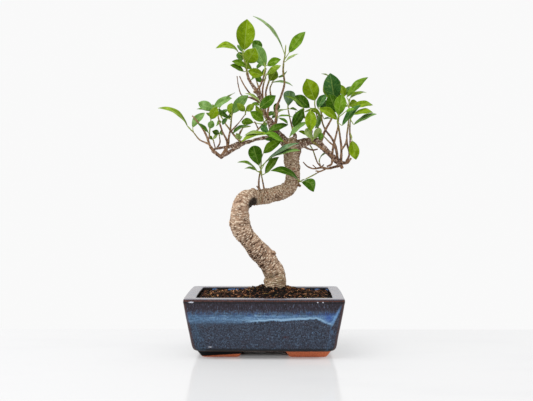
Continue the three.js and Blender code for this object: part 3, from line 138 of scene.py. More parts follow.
TWIGS = {
    "top_left": [(-17, 321, 0.5, 3.2), (-20, 328, 0, 2.8), (-21, 333, 0, 2.6)],
    "top_bare_a": [
        (-2, 294, 2, 2.4), (-9, 299, -2, 2), (-18, 308, -6, 1.8), (-25, 318, -9, 1.6),
        (-30, 328, -10, 1.3),
    ],
    "top_bare_b": [
        (-4, 302, 4, 2), (-15, 302.5, 10, 1.8), (-27, 305, 14, 1.6), (-31, 315, 16, 1.4),
        (-33, 328, 17, 1.2),
    ],
    "top_stub": [(-3, 294, 4, 2), (-10, 299, 7, 1.8), (-18, 302.5, 9, 1.5)],
    "top_middle": [
        (-9, 308, 2, 3), (-12.5, 309.5, -3, 2.6), (-9.5, 312, -6, 2.4), (-6, 315.5, -7, 2.3),
        (-3, 322, -9, 2.1), (-0.8, 328.5, -11, 2), (1, 335, -12, 2),
    ],
    "top_behind": [(-3, 298, 4, 2.6), (-4.4, 304, 6, 2.4), (-5.8, 310, 7, 2.1), (-6, 316, 8, 1.8)],
    "top_second": [(-2, 296, 3, 2.4), (-2.5, 311, 1, 2.2), (-1, 320, 0, 2), (0.5, 324, -0.5, 1.8)],
    "top_third": [(-0.5, 291, 4, 2.6), (1.3, 300, 6, 2.4), (1.5, 310, 7, 2.3), (5, 322, 10, 2)],
    "top_yellow": [
        (6, 272, 3, 2.8), (3.6, 280, -3, 2.4), (4, 288, -4, 2.2), (7.5, 300, 4, 1.9),
        (6.5, 314, 15, 1.7), (9, 320, 17, 1.6),
    ],
    "top_tall": [
        (10.5, 266, 0, 4), (13, 273, -2, 3.6), (14.5, 284, -1, 3.2), (14, 290, 2, 3.2),
        (19, 303, 9, 2.6), (23.5, 319, 10, 2.3), (22, 334, 9, 2.1), (22.5, 343, 8, 2),
    ],
    "top_low": [(3, 278, 1, 2.6), (0.5, 284, -5, 2.2), (-3.5, 288, -12, 1.8)],
    "centre_small": [(13, 275, -1, 2.2), (14.5, 278.5, -5, 1.8)],
    "centre_behind": [(14.5, 285, -1, 2.4), (12, 285.5, 4, 1.7)],
    "left_long": [
        (-52, 232, -7, 3), (-58, 237, -12, 2.8), (-64, 242, -15, 2.6), (-67, 250, -16, 2.4),
        (-71, 260, -17, 2.2), (-78, 271, -17, 1.8), (-86.5, 281, -16, 1.4),
    ],
    "left_long_stub": [(-70, 257, -17, 1.8), (-73, 268, -21, 1.4)],
    "left_out": [
        (-61, 240, 4, 2.6), (-67, 247, 8, 2.2), (-78, 252.5, 10, 1.9), (-84.5, 260.5, 10, 1.6),
    ],
    "left_young": [(-67.5, 251, -16, 1.8), (-66.3, 256, -21, 1.6), (-66, 260, -24, 1.5)],
    "left_middle": [
        (-46, 236, -5, 2.8), (-45, 250, -10, 2.6), (-50.5, 262, -14, 2.2), (-54, 273, -17, 1.9),
        (-56.5, 285, -19, 1.6),
    ],
    "left_inner": [
        (-52, 233, -6, 3), (-48, 239, -4, 3), (-44, 246, -2, 3), (-43, 254, 2, 2.7),
        (-41, 265, 6, 2.3), (-40, 275, 9, 2),
    ],
    "left_fork": [(-41.5, 261, 4, 1.8), (-31, 272.5, 1, 1.5), (-24, 281.5, -1, 1.3)],
    "left_small_a": [(-57, 242.5, 7, 2), (-53.5, 249, 11, 1.7), (-54, 256, 13, 1.5)],
    "left_small_b": [(-59, 242, 5, 1.6), (-61, 250, 6, 1.3)],
    "left_rise": [(-30, 248.5, 6, 2.4), (-20, 255, 3, 2.2), (-9, 263.5, 0, 2), (-3, 270, -2, 1.7)],
    "left_rise_stub": [(-7.5, 265, -0.5, 1.5), (-12, 274, -3, 1.2)],
    "left_dark": [(-30, 249, 6, 2), (-30, 259, 9, 2.2), (-27, 265, 10, 2)],
    "left_low": [(-29, 247, 5, 2), (-29.5, 250, -2, 1.5)],
    "knot_stub": [(89.5, 225, -2, 5.5), (92.5, 218.5, -3, 4)],
    "knot_spur": [(89, 225, -2, 5), (98, 225, 0, 3.6), (103, 230, 2, 2.4)],
    "right_outer": [
        (97, 225, 0, 3), (101, 235, 3, 2.6), (98.5, 247, 7, 2.4), (98, 257, 10, 2.2),
        (99.5, 268, 13, 2), (100, 274, 14, 1.8),
    ],
    "right_outer_b": [
        (101, 236, 3, 2.2), (102, 250, 0, 2), (101.5, 263, -3, 1.8), (102, 275, -6, 1.6),
    ],
    "right_up": [
        (91, 226, -2, 3.4), (91.5, 242, -7, 2.8), (90, 255, -11, 2.3), (88, 268, -15, 2),
        (87, 272, -16, 1.8),
    ],
    "right_tall": [
        (80.5, 234, -3, 3), (82, 245, 8, 2.6), (84.5, 255, 14, 2.2), (87, 266, 18, 2),
        (88, 276, 21, 1.9), (88.5, 281, 23, 1.7),
    ],
    "right_link": [(91.2, 240, -5, 2.6), (96, 246.5, 2, 2.4), (98, 253, 8, 2.2)],
    "right_hanging": [(101.5, 262, -3, 1.8), (102, 260, -7, 1.5)],
    "right_inner": [
        (87, 229, -2, 3), (85, 243, 2, 2.6), (80, 254, 4, 2.4), (73.5, 262.5, 4, 2.2),
        (69, 272, 2, 2), (67.5, 282, 0, 1.8),
    ],
    "right_slant": [
        (87, 231, -1.5, 2.4), (83, 244, -14, 2), (76.5, 250, -20, 1.8), (70, 257, -24, 1.4),
    ],
    "right_fan": [(82, 231, -5, 2.2), (70, 241, -11, 2.6), (57.5, 249.5, -11, 2.4)],
    "right_down": [(81, 232, -3, 3), (79.5, 223, -6, 2.6), (74.5, 220.5, -8, 2)],
    "low_main": [
        (91, 222, -2, 3.6), (84, 220, 3, 3), (75, 218, 7, 2.5), (68, 219, 9, 2.2),
        (58, 217.8, 10, 1.8), (51, 220.5, 9, 1.6), (46, 225.5, 7, 1.3),
    ],
    "low_stub_a": [(62, 218, 9.5, 1.6), (57.5, 222, 8, 1.3)],
    "low_stub_b": [(67, 219, 9, 1.8), (70.5, 222.5, 7, 1.5)],
    "low_fork": [(73, 217.5, 8, 1.8), (66, 214.5, 5, 1.9), (61, 215, 3, 1.7)],
    "low_thin": [(67, 215, 5.5, 1.6), (62.5, 212.5, 7, 1.3)],
    "right_low": [(68, 219, 9, 2), (63, 225, 14, 1.7), (60, 233, 18, 1.5)],
    "right_bud": [(67, 219.5, 9, 1.8), (65.5, 225, 9, 1.2)],
    "cross_twig": [(46, 245, 1, 3), (52, 241.5, 11, 2.4), (58, 240, 16, 2), (63, 241, 18, 1.6)],
    "centre_up": [
        (30, 247, 3, 3), (35, 257, 10, 2.4), (33, 266, 13, 2.2), (30, 278, 13, 1.6),
        (28, 288, 13, 1.5),
    ],
    "centre": [(27, 248, -6, 3.4), (22, 251, -10, 2.6), (16, 255, -12, 2.2)],
    "centre_fork": [(35, 249, -2, 2.8), (37.5, 257, -8, 2.3), (34.5, 262, -10, 1.7)],
    "right_shade": [(52, 249, 0, 2.6), (56, 262, 12, 2.2), (52, 274, 16, 2), (48, 279, 17, 2)],
    "shade_stub": [(49, 277.5, 17, 1.7), (45, 279.7, 19, 1.5), (36.5, 285.5, 21, 1.1)],
    "right_fore": [(56, 249, 0, 2.6), (63, 262, 8, 2.2), (63, 276, 10, 1.8), (61, 287, 10, 1.6)],
    "sprig": [(-5, 188, 5, 3.4), (-7, 197, 1, 2.4), (-6.5, 208, -1, 2), (-5, 214, -2, 1.9)],
    "sprig_stub": [(-6, 192, 2, 2), (-9.5, 197, -1, 1.6)],
    "sprig_thin": [(0, 190, 7, 2.4), (-2.5, 203, 5, 1.6), (-3.5, 208, 4, 1.4)],
    "nub_stub": [(38, 200, 2, 5), (42.5, 197, -1, 3)],
    "nub": [(36, 202, -2, 4), (41.5, 202.5, -9.5, 2)],
    "back_left": [(-26, 247, 5, 3), (-35, 256, 18, 2.4), (-42, 265, 28, 2), (-46, 270, 34, 1.8)],
    "back_centre": [(9, 266, 4, 3.4), (11, 267, 18, 2.6), (9, 269, 28, 2.1), (7, 271, 33, 1.8)],
    "back_right": [(66, 247, 0, 3.6), (72, 263, 20, 2.8), (80, 278, 30, 2.2), (83, 287, 36, 1.8)],
    "back_top": [(-3, 300, 4, 2.6), (-6, 311, 13, 2.1), (-9, 320, 21, 1.8)],
}

# Healed cuts: [across, up, depth, radius].
NUBS = [
    (-1.5, 126, -7, 3), (10, 116.5, -6, 3.6), (-17.5, 119.5, -6, 3.2), (-39, 151, -9, 3.4),
    (38, 239, -3, 6), (23.5, 241, -6, 4), (-14, 192, 2, 3), (86.5, 227, -3, 3.8),
    (90, 223.5, -2.5, 3.2), (82, 231.5, -3, 3.3), (-52, 232, -7, 2.6), (-33, 244.5, 0, 3.2),
    (47, 251, -4, 3.4), (64, 249.5, -4, 3.6),
]

# A shoot by its node's name, which ends with the name of its twig: its slot, its stem's stations
# and its leaves. A leaf: where on the stem it starts (0 to 1), the blade's foot and tip, the
# width that shows, its arch, its tone and, where they differ from leaf()'s own, its turn, bend
# and round_end.
SHOOTS = {
    "shoot_top_left": ("leaf", [(-23, 342, -1), (-25.5, 351, -2), (-26, 357, -2.5)], [
        (0.95, (-24.5, 359, -3), (-21, 396, -6), 22.5, 1.5, "young"),
        (0.8, (-31, 356, -6), (-58, 362, -18), 7, 6, "young"),
        (0.9, (-13, 358, 14), (-6, 370.5, 24), 13, 1, "deep"),
        (0.35, (-21, 344, -8), (-11, 361, -19), 18.5, 1, "young"),
        (0.45, (-22, 339, -8), (-39, 346, -14), 7, 1.5, "full"),
        (0.55, (-27, 346, 8), (-31, 357, 16), 9, 1, "deep", {"turn": -1}),
        (0.2, (-25, 333.5, -6), (-41, 341.6, -12), 6.5, 1.5, "full"),
        (0.85, (-26.5, 356.5, 6), (-32.5, 365.5, 10), 5, 0.5, "sheen"),
    ]),
    "shoot_top_middle": ("leaf", [(0.5, 338, -12.5), (0, 342, -13)], [
        (0.8, (1, 339.5, -13), (-13, 366, -2), 16.5, 1.5, "sheen"),
        (0.9, (3, 341, -14), (19, 348, -24), 9, 1.5, "full"),
        (0.7, (-2, 329.5, -17), (-20, 334.5, -24), 11, 1, "young"),
    ]),
    "shoot_top_second": ("leaf", [(1, 327, -1), (1.5, 329.5, -1.5)], [
        (0.8, (2.5, 329.5, -2), (19, 341, -6), 7.5, 0.5, "lime"),
        (0.5, (-3, 321, 5), (-11, 328, 10), 7, 0.5, "deep"),
    ]),
    "shoot_top_third": ("leaf", [(6, 324, 10.5), (7, 327, 11)], [
        (0.7, (5.5, 322.5, 6), (14, 335, 12), 12, 1, "olive"),
    ]),
    "shoot_top_yellow": ("leaf", [(10, 322.5, 18), (11, 324, 18.5)], [
        (0.5, (8.5, 320.5, 22), (33.5, 317, 22), 2.6, 2, "silver"),
        (0.8, (16, 327, 26), (27, 334, 33), 3, 0.8, "full", {"turn": -1}),
    ]),
    "shoot_top_tall": ("leaf", [(24, 352, 7), (24.6, 358, 6.5), (25, 363, 6)], [
        (0.55, (21.6, 360, 4), (-13, 400.5, -6), 3.6, 4.5, "silver"),
        (0.35, (29, 356, 4), (48, 381, -3), 12, 0.5, "full"),
        (0.2, (26, 346.5, 10), (40, 355, 18), 3, 0.5, "pale"),
    ]),
    "shoot_top_low": ("leaf_dark", [(-5, 290, -15), (-5.5, 291.5, -16.5)], [
        (0.6, (-5.5, 290, -18), (13, 305, -27), 12.5, 1, "deep"),
        (0.7, (-6, 298, -18), (-23, 308, -17), 3.2, 1.2, "pale"),
        (0.3, (-6, 293.5, -10), (-15.2, 295.8, -6), 4.5, 0.5, "full"),
    ]),
    "shoot_left_out": ("leaf", [(-88, 264, 9), (-90.5, 267, 8.5)], [
        (0.7, (-92, 268, 7), (-127, 291, -4), 5.6, 6.5, "lime"),
        (0.3, (-86, 267, 13), (-72, 285, 22), 9.5, 2, "sheen"),
    ]),
    "shoot_left_young": ("leaf", [(-65.5, 265, -25), (-64.5, 272, -26), (-64.3, 276, -26.5)], [
        (0.9, (-64.5, 277, -27), (-57, 291.5, -33), 10.5, 1, "young"),
        (0.25, (-66, 266, -28), (-62, 275, -31), 8, 0.5, "sheen"),
        (0.15, (-67.2, 260.5, -26), (-80, 272, -29), 4.2, 0.8, "deep"),
    ]),
    "shoot_left_middle": ("leaf", [(-57.5, 288, -19.5), (-58, 290, -20)], [
        (0.5, (-61, 288, -17), (-79.5, 297, -10), 11, 1, "sheen"),
        (0.2, (-63, 286, -12), (-81, 289.5, -4), 4, 1, "full"),
        (0.7, (-62, 289.5, -20), (-39.5, 302.5, -28), 8.6, 1.5, "sheen"),
        (0.3, (-53, 292, -14), (-36, 309, -4), 2.6, 1, "olive"),
    ]),
    "shoot_left_inner": ("leaf", [(-39.5, 279, 10), (-39, 283, 10.5), (-39, 286, 10.5)], [
        (0.85, (-38.5, 284, 11), (-20, 305.5, 3), 12.5, 1.5, "sheen"),
        (0.6, (-42, 283.5, 12), (-39.5, 296.5, 20), 8, 1, "young", {"turn": -1}),
        (0.15, (-42, 278, 4), (-55, 289.5, -5), 6, 1, "deep", {"turn": -1}),
        (0.25, (-45, 278, 15), (-51, 270.5, 22), 5, 0.5, "teal"),
    ]),
    "shoot_left_fork": ("leaf_pale", [(-23, 284, -1.5), (-22.7, 286, -2)], [
        (0.8, (-23.5, 286.5, -3), (-33, 295.5, -12), 8, 0.8, "lime"),
        (0.8, (-22, 286.5, -3), (-12.5, 295, -12), 8, 0.8, "lime"),
    ]),
    "shoot_left_rise": ("leaf", [(0.5, 274, -3), (1.5, 276, -3.2)], [
        (0.4, (-1, 274.5, -5), (-17.2, 286, -12), 10.5, 1, "full"),
        (0.2, (-13.5, 273, 12), (-28, 274, 22), 9, 1, "full"),
    ]),
    "shoot_left_dark": ("leaf_dark", [(-24.5, 268.5, 10), (-23.5, 269.5, 10)], [
        (0.4, (-17, 268.5, -4), (-38, 260, -14), 4, 3, "deep"),
    ]),
    "shoot_left_low": ("leaf_pale", [(-30, 252, -4.5), (-30.5, 253, -5)], [
        (0.7, (-30.5, 254, -6), (-34, 260, -14), 6.5, 0.5, "pale"),
        (0.9, (-30, 253, -8), (-26.8, 256, -14), 3, 0.3, "pale"),
    ]),
    "shoot_left_small_a": ("leaf", [(-54.5, 258.5, 13.5)], [
        (0.7, (-54.5, 260, 13), (-62.5, 262.5, 2), 7, 0.5, "deep"),
        (0.7, (-54, 260.5, 15), (-50.5, 261, 26), 7, 0.5, "sheen"),
    ]),
    "shoot_left_small_b": ("leaf", [(-62, 252.5, 6.2)], [
        (0.7, (-62.5, 253, 6), (-67, 257, 0), 4, 0.4, "full"),
        (0.7, (-61.5, 254, 6), (-56.5, 257.5, 0), 4, 0.4, "pale"),
    ]),
    "shoot_right_outer": ("leaf", [(100.5, 282, 15), (100.5, 292, 16), (100.5, 299, 16.5)], [
        (0.95, (98, 303, 16), (122.5, 327, 8), 9, 1.5, "full"),
        (0.85, (102, 302, 18), (121, 309, 27), 4.5, 2, "young"),
        (0.6, (101, 292, 20), (110, 298, 30), 10, 0.5, "young"),
        (0.7, (94.5, 303, 22), (90.5, 318, 30), 9, 1, "young"),
    ]),
    "shoot_right_outer_b": ("leaf", [(103, 281, -7), (103.5, 287, -8)], [
        (0.8, (105, 290, -9), (129, 294, -2), 8, 3, "young"),
        (0.4, (106, 282, -10), (129, 285, -16), 6.5, 2.5, "young"),
        (0.3, (106.3, 270.5, -11), (133, 283.5, -20), 5.5, 1, "sheen"),
    ]),
    "shoot_right_hanging": ("leaf", [(103.5, 256.5, -10)], [
        (0.7, (104.2, 251, -11), (109, 228.5, -13), 12.5, 1, "young"),
    ]),
    "shoot_right_up": ("leaf", [(87.3, 276, -17), (87.5, 280, -17.5)], [
        (0.4, (86.5, 276.5, -19), (65, 289.5, -27), 10, 2.5, "young"),
        (0.8, (88, 281, -17), (92, 307, -12), 14, 1.5, "full"),
        (0.1, (92.5, 269.5, -26), (114, 294, -36), 8, 1.5, "teal"),
        (0.9, (96, 285.5, -34), (108, 288.5, -38), 3.4, 1, "bright"),
    ]),
    "shoot_right_tall": ("leaf_dark", [(88, 290, 24), (85.5, 294, 24.5), (84.5, 297, 24.5)], [
        (0.95, (83, 300, 24), (78, 331.5, 17), 21.5, 1.5, "teal"),
        (0.1, (86, 285, 10), (77, 306.5, 2), 18, 1.5, "deep", {"turn": -1}),
        (0.9, (76.5, 328, 26), (67.5, 331, 30), 1.6, 0.4, "olive"),
    ]),
    "shoot_right_inner": ("leaf", [(66.5, 287, -1), (66, 290, -1.5)], [
        (0.8, (63.5, 290, 2), (72.5, 307, 10), 9.5, 1, "teal"),
        (0.6, (71, 277, 9), (79.5, 277, 14), 2, 1, "deep"),
        (0.3, (68, 284, 8), (74, 300, 14), 8, 1, "teal"),
    ]),
    "shoot_right_fore": ("leaf", [(60, 292, 9.5), (59.5, 296, 9)], [
        (0.9, (60, 299, 8), (50, 325, 2), 20, 1, "young"),
        (0.4, (53.5, 290.5, 24), (36, 305, 30), 14, 1.5, "deep"),
        (0.1, (55, 287.5, -20), (55, 262.5, -27), 13.5, 2, "young"),
        (0.3, (65.5, 284.5, 4), (60.5, 265.5, 0), 6, 1, "sheen"),
        (0.4, (47.5, 285.5, -8), (67.3, 276, -8), 5, 7, "olive"),
    ]),
    "shoot_right_shade": ("leaf_dark", [(46, 283, 17), (45, 285, 17)], [
        (0.8, (47, 289, 13), (24.5, 305, 8), 4, 2, "full"),
        (0.1, (46, 290, 6), (34.5, 267, -2), 9, 1.5, "deep"),
    ]),
    "shoot_right_fan": ("leaf_pale", [(56.6, 252, -12.5), (57, 256, -14.5)], [
        (0.5, (56.5, 252.6, -15), (49.4, 265.6, -21), 8.6, 0.5, "pale", {"round_end": True}),
        (0.5, (58, 252.6, -15), (66.4, 265.8, -21), 8.6, 0.5, "pale", {"turn": -1, "round_end": True}),
        (0.95, (51, 257.5, -15), (40.5, 262.5, -18), 4, 1, "young"),
    ]),
    "shoot_right_slant": ("leaf_dark", [(68.5, 258.5, -24.5)], [
        (0.7, (67.5, 261, -25), (66, 251.5, -31), 6.2, 0.5, "deep"),
    ]),
    "shoot_right_low": ("leaf", [(57.5, 240, 20), (54, 246, 21)], []),
    "shoot_right_bud": ("leaf", [(65.3, 228, 8.5)], [
        (0.7, (65.8, 229.5, 8), (73.5, 236.5, 2), 1.8, 1.2, "full"),
    ]),
    "shoot_low_thin": ("leaf_pale", [(56, 209, 7), (50, 206, 6)], [
        (0.9, (48, 205.2, 5), (43.5, 203, 2), 1.4, 0.2, "pale"),
    ]),
    "shoot_centre_up": ("leaf", [(27.8, 291, 13), (27.6, 293, 13)], [
        (0.8, (28, 292, 16), (30, 311, 24), 14.5, 0.5, "grey", {"round_end": True}),
        (0.3, (25, 288.5, 11), (10, 281, 6), 3.4, 1.5, "pale"),
        (0.5, (30, 289, 15), (39.5, 287, 22), 3, 1, "full"),
    ]),
    "shoot_centre_fork": ("leaf", [(33, 265.5, -11)], [
        (0.8, (34, 268, -10), (46, 289, -12), 8.5, 1.5, "deep", {"turn": -1}),
        (0.4, (29.5, 255.5, -16), (51, 274, -19), 6, 1.5, "sheen"),
    ]),
    "shoot_centre": ("leaf_dark", [(12, 257, -13), (8, 259, -15), (5, 260, -16)], [
        (0.45, (22.5, 250, -16), (0, 260, -24), 7, 1.5, "bright"),
        (0.9, (8, 258.5, -20), (-28, 250.5, -30), 5.2, 3.8, "lime"),
        (0.8, (4, 261.5, -14), (28, 271, -8), 8, 1, "deep"),
        (0.9, (3, 259, -18), (-24, 258, -24), 4, 2, "pale"),
        (0.5, (19, 250, -6.5), (0, 253, -5), 6, 1, "deep"),
        (0.95, (3.9, 260.4, -12), (-4.4, 269.9, -6), 8, 1, "teal"),
    ]),
    "shoot_centre_small": ("leaf", [(15, 279, -6)], [
        (0.7, (16, 278.5, -7), (27.5, 271.5, -14), 3.4, 1, "deep"),
        (0.7, (16, 280, -5), (34, 279.5, 2), 2, 1, "full"),
    ]),
    "shoot_centre_behind": ("leaf_dark", [(11.3, 286, 6)], [
        (0.7, (11, 287, 8), (17, 295.5, 13), 8, 1, "deep"),
    ]),
    "shoot_sprig": ("leaf_dark", [(-4.5, 220, -2.5), (-4.2, 227, -2.5), (-4, 233, -2.5)], [
        (0.35, (-6.5, 221, -4), (-14, 245, -8), 16.5, 1, "deep", {"turn": -1, "round_end": True}),
        (0.1, (-9, 214.5, -5), (-32, 226, -12), 3, 3.5, "full"),
        (0.3, (0, 224, -8), (40, 249.5, -28), 4.6, 2.5, "grey"),
        (0.5, (4, 229, -12), (42, 240.5, -36), 4, 2, "sheen"),
        (0.9, (-1.5, 236.5, -6), (19, 250.5, -14), 11, 2, "full"),
    ]),
    "shoot_sprig_thin": ("leaf", [(-3.7, 211, 4), (-3.8, 214, 4)], [
        (0.5, (0.5, 212, 2), (16.5, 232, -6), 9, 1, "full"),
        (0.8, (-9, 215, 5), (-24, 218, 10), 3.4, 2, "full"),
    ]),
    "shoot_nub": ("leaf_dark", [(43, 203, -12.5)], [
        (0.7, (40, 204.5, -14), (7.5, 216, -26), 8, 5, "deep"),
        (0.7, (44.5, 202, -12), (58.5, 190, -16), 13, 1, "deep", {"turn": -1, "bend": 5}),
    ]),
}

# Shoots on the far side: slot, number of leaves and the longest blade.
BACK_SHOOTS = {
    "shoot_back_left": ("leaf_dark", 6, 16),
    "shoot_back_centre": ("leaf_dark", 6, 17),
    "shoot_back_right": ("leaf_dark", 6, 22),
    "shoot_back_top": ("leaf_dark", 5, 15),
}

# Leaf colours by name, as they look under plain white light. The sheen, silver and grey tones
# have a painted sheen mixed in: the white reflection off a glossy face.
TONES = {
    "young": (0.49, 0.60, 0.00),
    "full": (0.38, 0.53, 0.03),
    "deep": (0.24, 0.41, 0.00),
    "olive": (0.37, 0.45, 0.00),
    "sheen": (0.44, 0.59, 0.31),
    "teal": (0.22, 0.41, 0.19),
    "pale": (0.62, 0.70, 0.42),
    "lime": (0.55, 0.66, 0.17),
    "silver": (0.55, 0.66, 0.44),
    "bright": (0.42, 0.61, 0.14),
    "grey": (0.44, 0.57, 0.44),
}

# The other colours by name, as they look on a screen. A user can change the main ones below.
COLOURS = {
    "slate_dark": (0.13, 0.14, 0.19), "purple_brown": (0.20, 0.12, 0.12),
    "slate_ink": (0.05, 0.05, 0.07), "slate_blue": (0.42, 0.56, 0.70),
    "slate_pale": (0.50, 0.62, 0.74), "rusty_spot": (0.22, 0.08, 0.07),
    "foot_black": (0.02, 0.02, 0.03), "plum_dark": (0.11, 0.09, 0.11),
    "plum_black": (0.04, 0.03, 0.05), "plum_grey": (0.42, 0.48, 0.58),
    "band_dark": (0.22, 0.33, 0.47), "wave_dark": (0.17, 0.27, 0.38),
    "wave_light": (0.58, 0.72, 0.84), "band_pit": (0.13, 0.18, 0.25),
    "band_seam": (0.19, 0.25, 0.28), "band_edge": (0.60, 0.74, 0.85),
    "cobalt": (0.16, 0.28, 0.52), "band_dull": (0.24, 0.33, 0.42),
    "band_vivid": (0.16, 0.30, 0.62), "corner_run": (0.38, 0.54, 0.70),
    "drip": (0.45, 0.63, 0.83), "corner_haze": (0.26, 0.38, 0.48),
    "thin_glaze": (0.30, 0.19, 0.16), "line_black": (0.05, 0.04, 0.06),
    "rust_dark": (0.09, 0.05, 0.05), "rust_light": (0.62, 0.36, 0.24),
    "painted_glint": (0.86, 0.88, 0.93), "lip_brown": (0.30, 0.20, 0.17),
    "lip_blue": (0.34, 0.44, 0.54), "inside_brown": (0.07, 0.045, 0.04),
    "inside_sky_reflection": (0.40, 0.57, 0.80), "dark_clay": (0.24, 0.15, 0.11),
    "clay": (0.84, 0.47, 0.32), "clay_deep": (0.66, 0.33, 0.21),
    "clay_speck": (0.85, 0.60, 0.42), "foot_glaze": (0.01, 0.01, 0.015),
    "foot_glaze_blue": (0.05, 0.06, 0.09),
    "bark_tan": (0.56, 0.46, 0.38), "bark_pale": (0.82, 0.72, 0.64),
    "limb_grey": (0.55, 0.48, 0.43), "twig_brown": (0.38, 0.25, 0.20),
    "twig_green": (0.52, 0.52, 0.20), "bark_crevice": (0.31, 0.21, 0.15),
    "limb_crevice": (0.17, 0.10, 0.08), "bark_ridge": (0.93, 0.84, 0.75),
    "bark_pore": (0.96, 0.89, 0.81), "bark_fleck": (0.90, 0.82, 0.73),
    "bark_pit": (0.24, 0.16, 0.11), "bark_dot": (0.90, 0.83, 0.74),
    "bark_rust": (0.50, 0.28, 0.17), "crease_painted_shade": (0.05, 0.03, 0.02),
    "crease_edge": (0.50, 0.47, 0.33), "scar": (0.50, 0.28, 0.16),
    "moss": (0.40, 0.38, 0.16), "leaf_light": (0.66, 0.76, 0.36),
    "leaf_back": (0.50, 0.60, 0.34), "stalk": (0.66, 0.71, 0.36),
    "stem_foot": (0.50, 0.40, 0.26), "stem_top": (0.60, 0.66, 0.34),
    "peat_pale": (0.50, 0.31, 0.20), "peat_grit": (0.74, 0.53, 0.36),
    "peat_gap_shade": (0.01, 0.006, 0.005), "litter_grain": (0.20, 0.12, 0.07),
    "chip_dark": (0.28, 0.16, 0.10), "chip_pale": (0.80, 0.57, 0.40),
    "fibre_dark": (0.42, 0.30, 0.16), "fibre_pale": (0.72, 0.60, 0.34),
    "net_black": (0.10, 0.10, 0.11), "net_grey": (0.17, 0.17, 0.18),
    "floor_vein": (0.825, 0.825, 0.835),
}


def linear(colour):
    """Screen colour (0 to 1) to the linear value that a shader takes."""
    c = np.asarray(colour, float)
    return np.where(c <= 0.04045, c / 12.92, ((c + 0.055) / 1.055) ** 2.4)


def unit(vectors):
    """Each vector divided by its length."""
    return vectors / np.maximum(np.linalg.norm(vectors, axis=-1, keepdims=True), 1e-9)


def from_front(stations):
    """A place is given by where it shows on the pot's middle plane, seen from EYE, and by its
    depth: across and up grow from EYE by the depth's share of the distance."""
    stations = np.asarray(stations, float)
    across, up, depth = stations[..., 0], stations[..., 1], stations[..., 2]
    k = (depth - EYE[1]) / -EYE[1]
    return np.stack([EYE[0] + (across - EYE[0]) * k, depth, EYE[2] + (up - EYE[2]) * k], axis=-1)


def from_crease(x, z):
    """How far a place lies across the trunk's crease and along it, for numbers or sockets."""
    x, z = x - CREASE[0], z - CREASE[1]
    right, up = CREASE_ACROSS
    return x * right + z * up, z * right - x * up


def grown(first, second, share):
    """Colours that go from the first name's to the second's as the share goes from 0 to 1."""
    return shade(first) * (1 - share) + shade(second) * share


# ---- repeatable roughness ----
def lattice(cells, seed):
    """A fixed value from 0 to 1 for each whole-number cell (…, 3), by integer mixing."""
    h = np.full(cells.shape[:-1], (seed * 2654435761 + 97) & 0xFFFFFFFF, np.uint32)
    for axis, factor in enumerate((374761393, 668265263, 2246822519)):
        h = (h ^ (cells[..., axis].astype(np.uint32) * np.uint32(factor)))
        h = (h ^ (h >> np.uint32(13))) * np.uint32(1274126177)
        h = h ^ (h >> np.uint32(16))
    return h / 4294967296.0


def noise(points, seed=0):
    """Smooth noise from -1 to 1: the lattice's values blended by t*t*(3 - 2*t) on each axis."""
    cells = np.floor(points).astype(np.int64)
    t = points - cells
    t = t * t * (3 - 2 * t)
    total = np.zeros(points.shape[:-1])
    for corner in np.ndindex(2, 2, 2):
        weight = np.prod(np.where(np.array(corner) == 1, t, 1 - t), axis=-1)
        total += weight * lattice(cells + np.array(corner), seed)
    return 2 * total - 1


def pebbles(u, v, wrap=0, seed=0, keep=1.0, flat=1.0):
    """Round bumps, one in each unit cell: height sqrt(r*r - d*d) about a jittered middle, where
    d is the distance, stretched by flat along v. Only the share keep of the cells has one.
    wrap is the whole number of cells after which u repeats. Returns the height and a value
    from 0 to 1 for the bump on top."""
    cu, cv = np.floor(u), np.floor(v)
    height = np.zeros(np.shape(u))
    tint = np.zeros(np.shape(u))
    for du in (-1, 0, 1):
        for dv in (-1, 0, 1):
            a, b = cu + du, cv + dv
            key = np.stack([a % wrap if wrap else a, b, np.zeros_like(a)], axis=-1).astype(np.int64)
            mid_u = a + 0.2 + 0.6 * lattice(key, seed + 1)
            mid_v = b + 0.2 + 0.6 * lattice(key, seed + 2)
            r = 0.35 + 0.35 * lattice(key, seed + 3)
            there = lattice(key, seed + 4) < keep
            d2 = (u - mid_u) ** 2 + ((v - mid_v) * flat) ** 2
            h = np.where(there, np.sqrt(np.maximum(r * r - d2, 0)), 0)
            tint = np.where(h > height, lattice(key, seed + 5), tint)
            height = np.maximum(height, h)
    return height, tint


# ---- surfaces ----
def grid(rows, around, start=0):
    """Four-cornered faces that join neighbouring rows of points, each row closed on itself."""
    i, j = np.meshgrid(np.arange(rows - 1), np.arange(around), indexing="ij")
    a = start + i * around + j
    b = start + i * around + (j + 1) % around
    return np.stack([a, b, b + around, a + around], axis=-1).reshape(-1, 4)


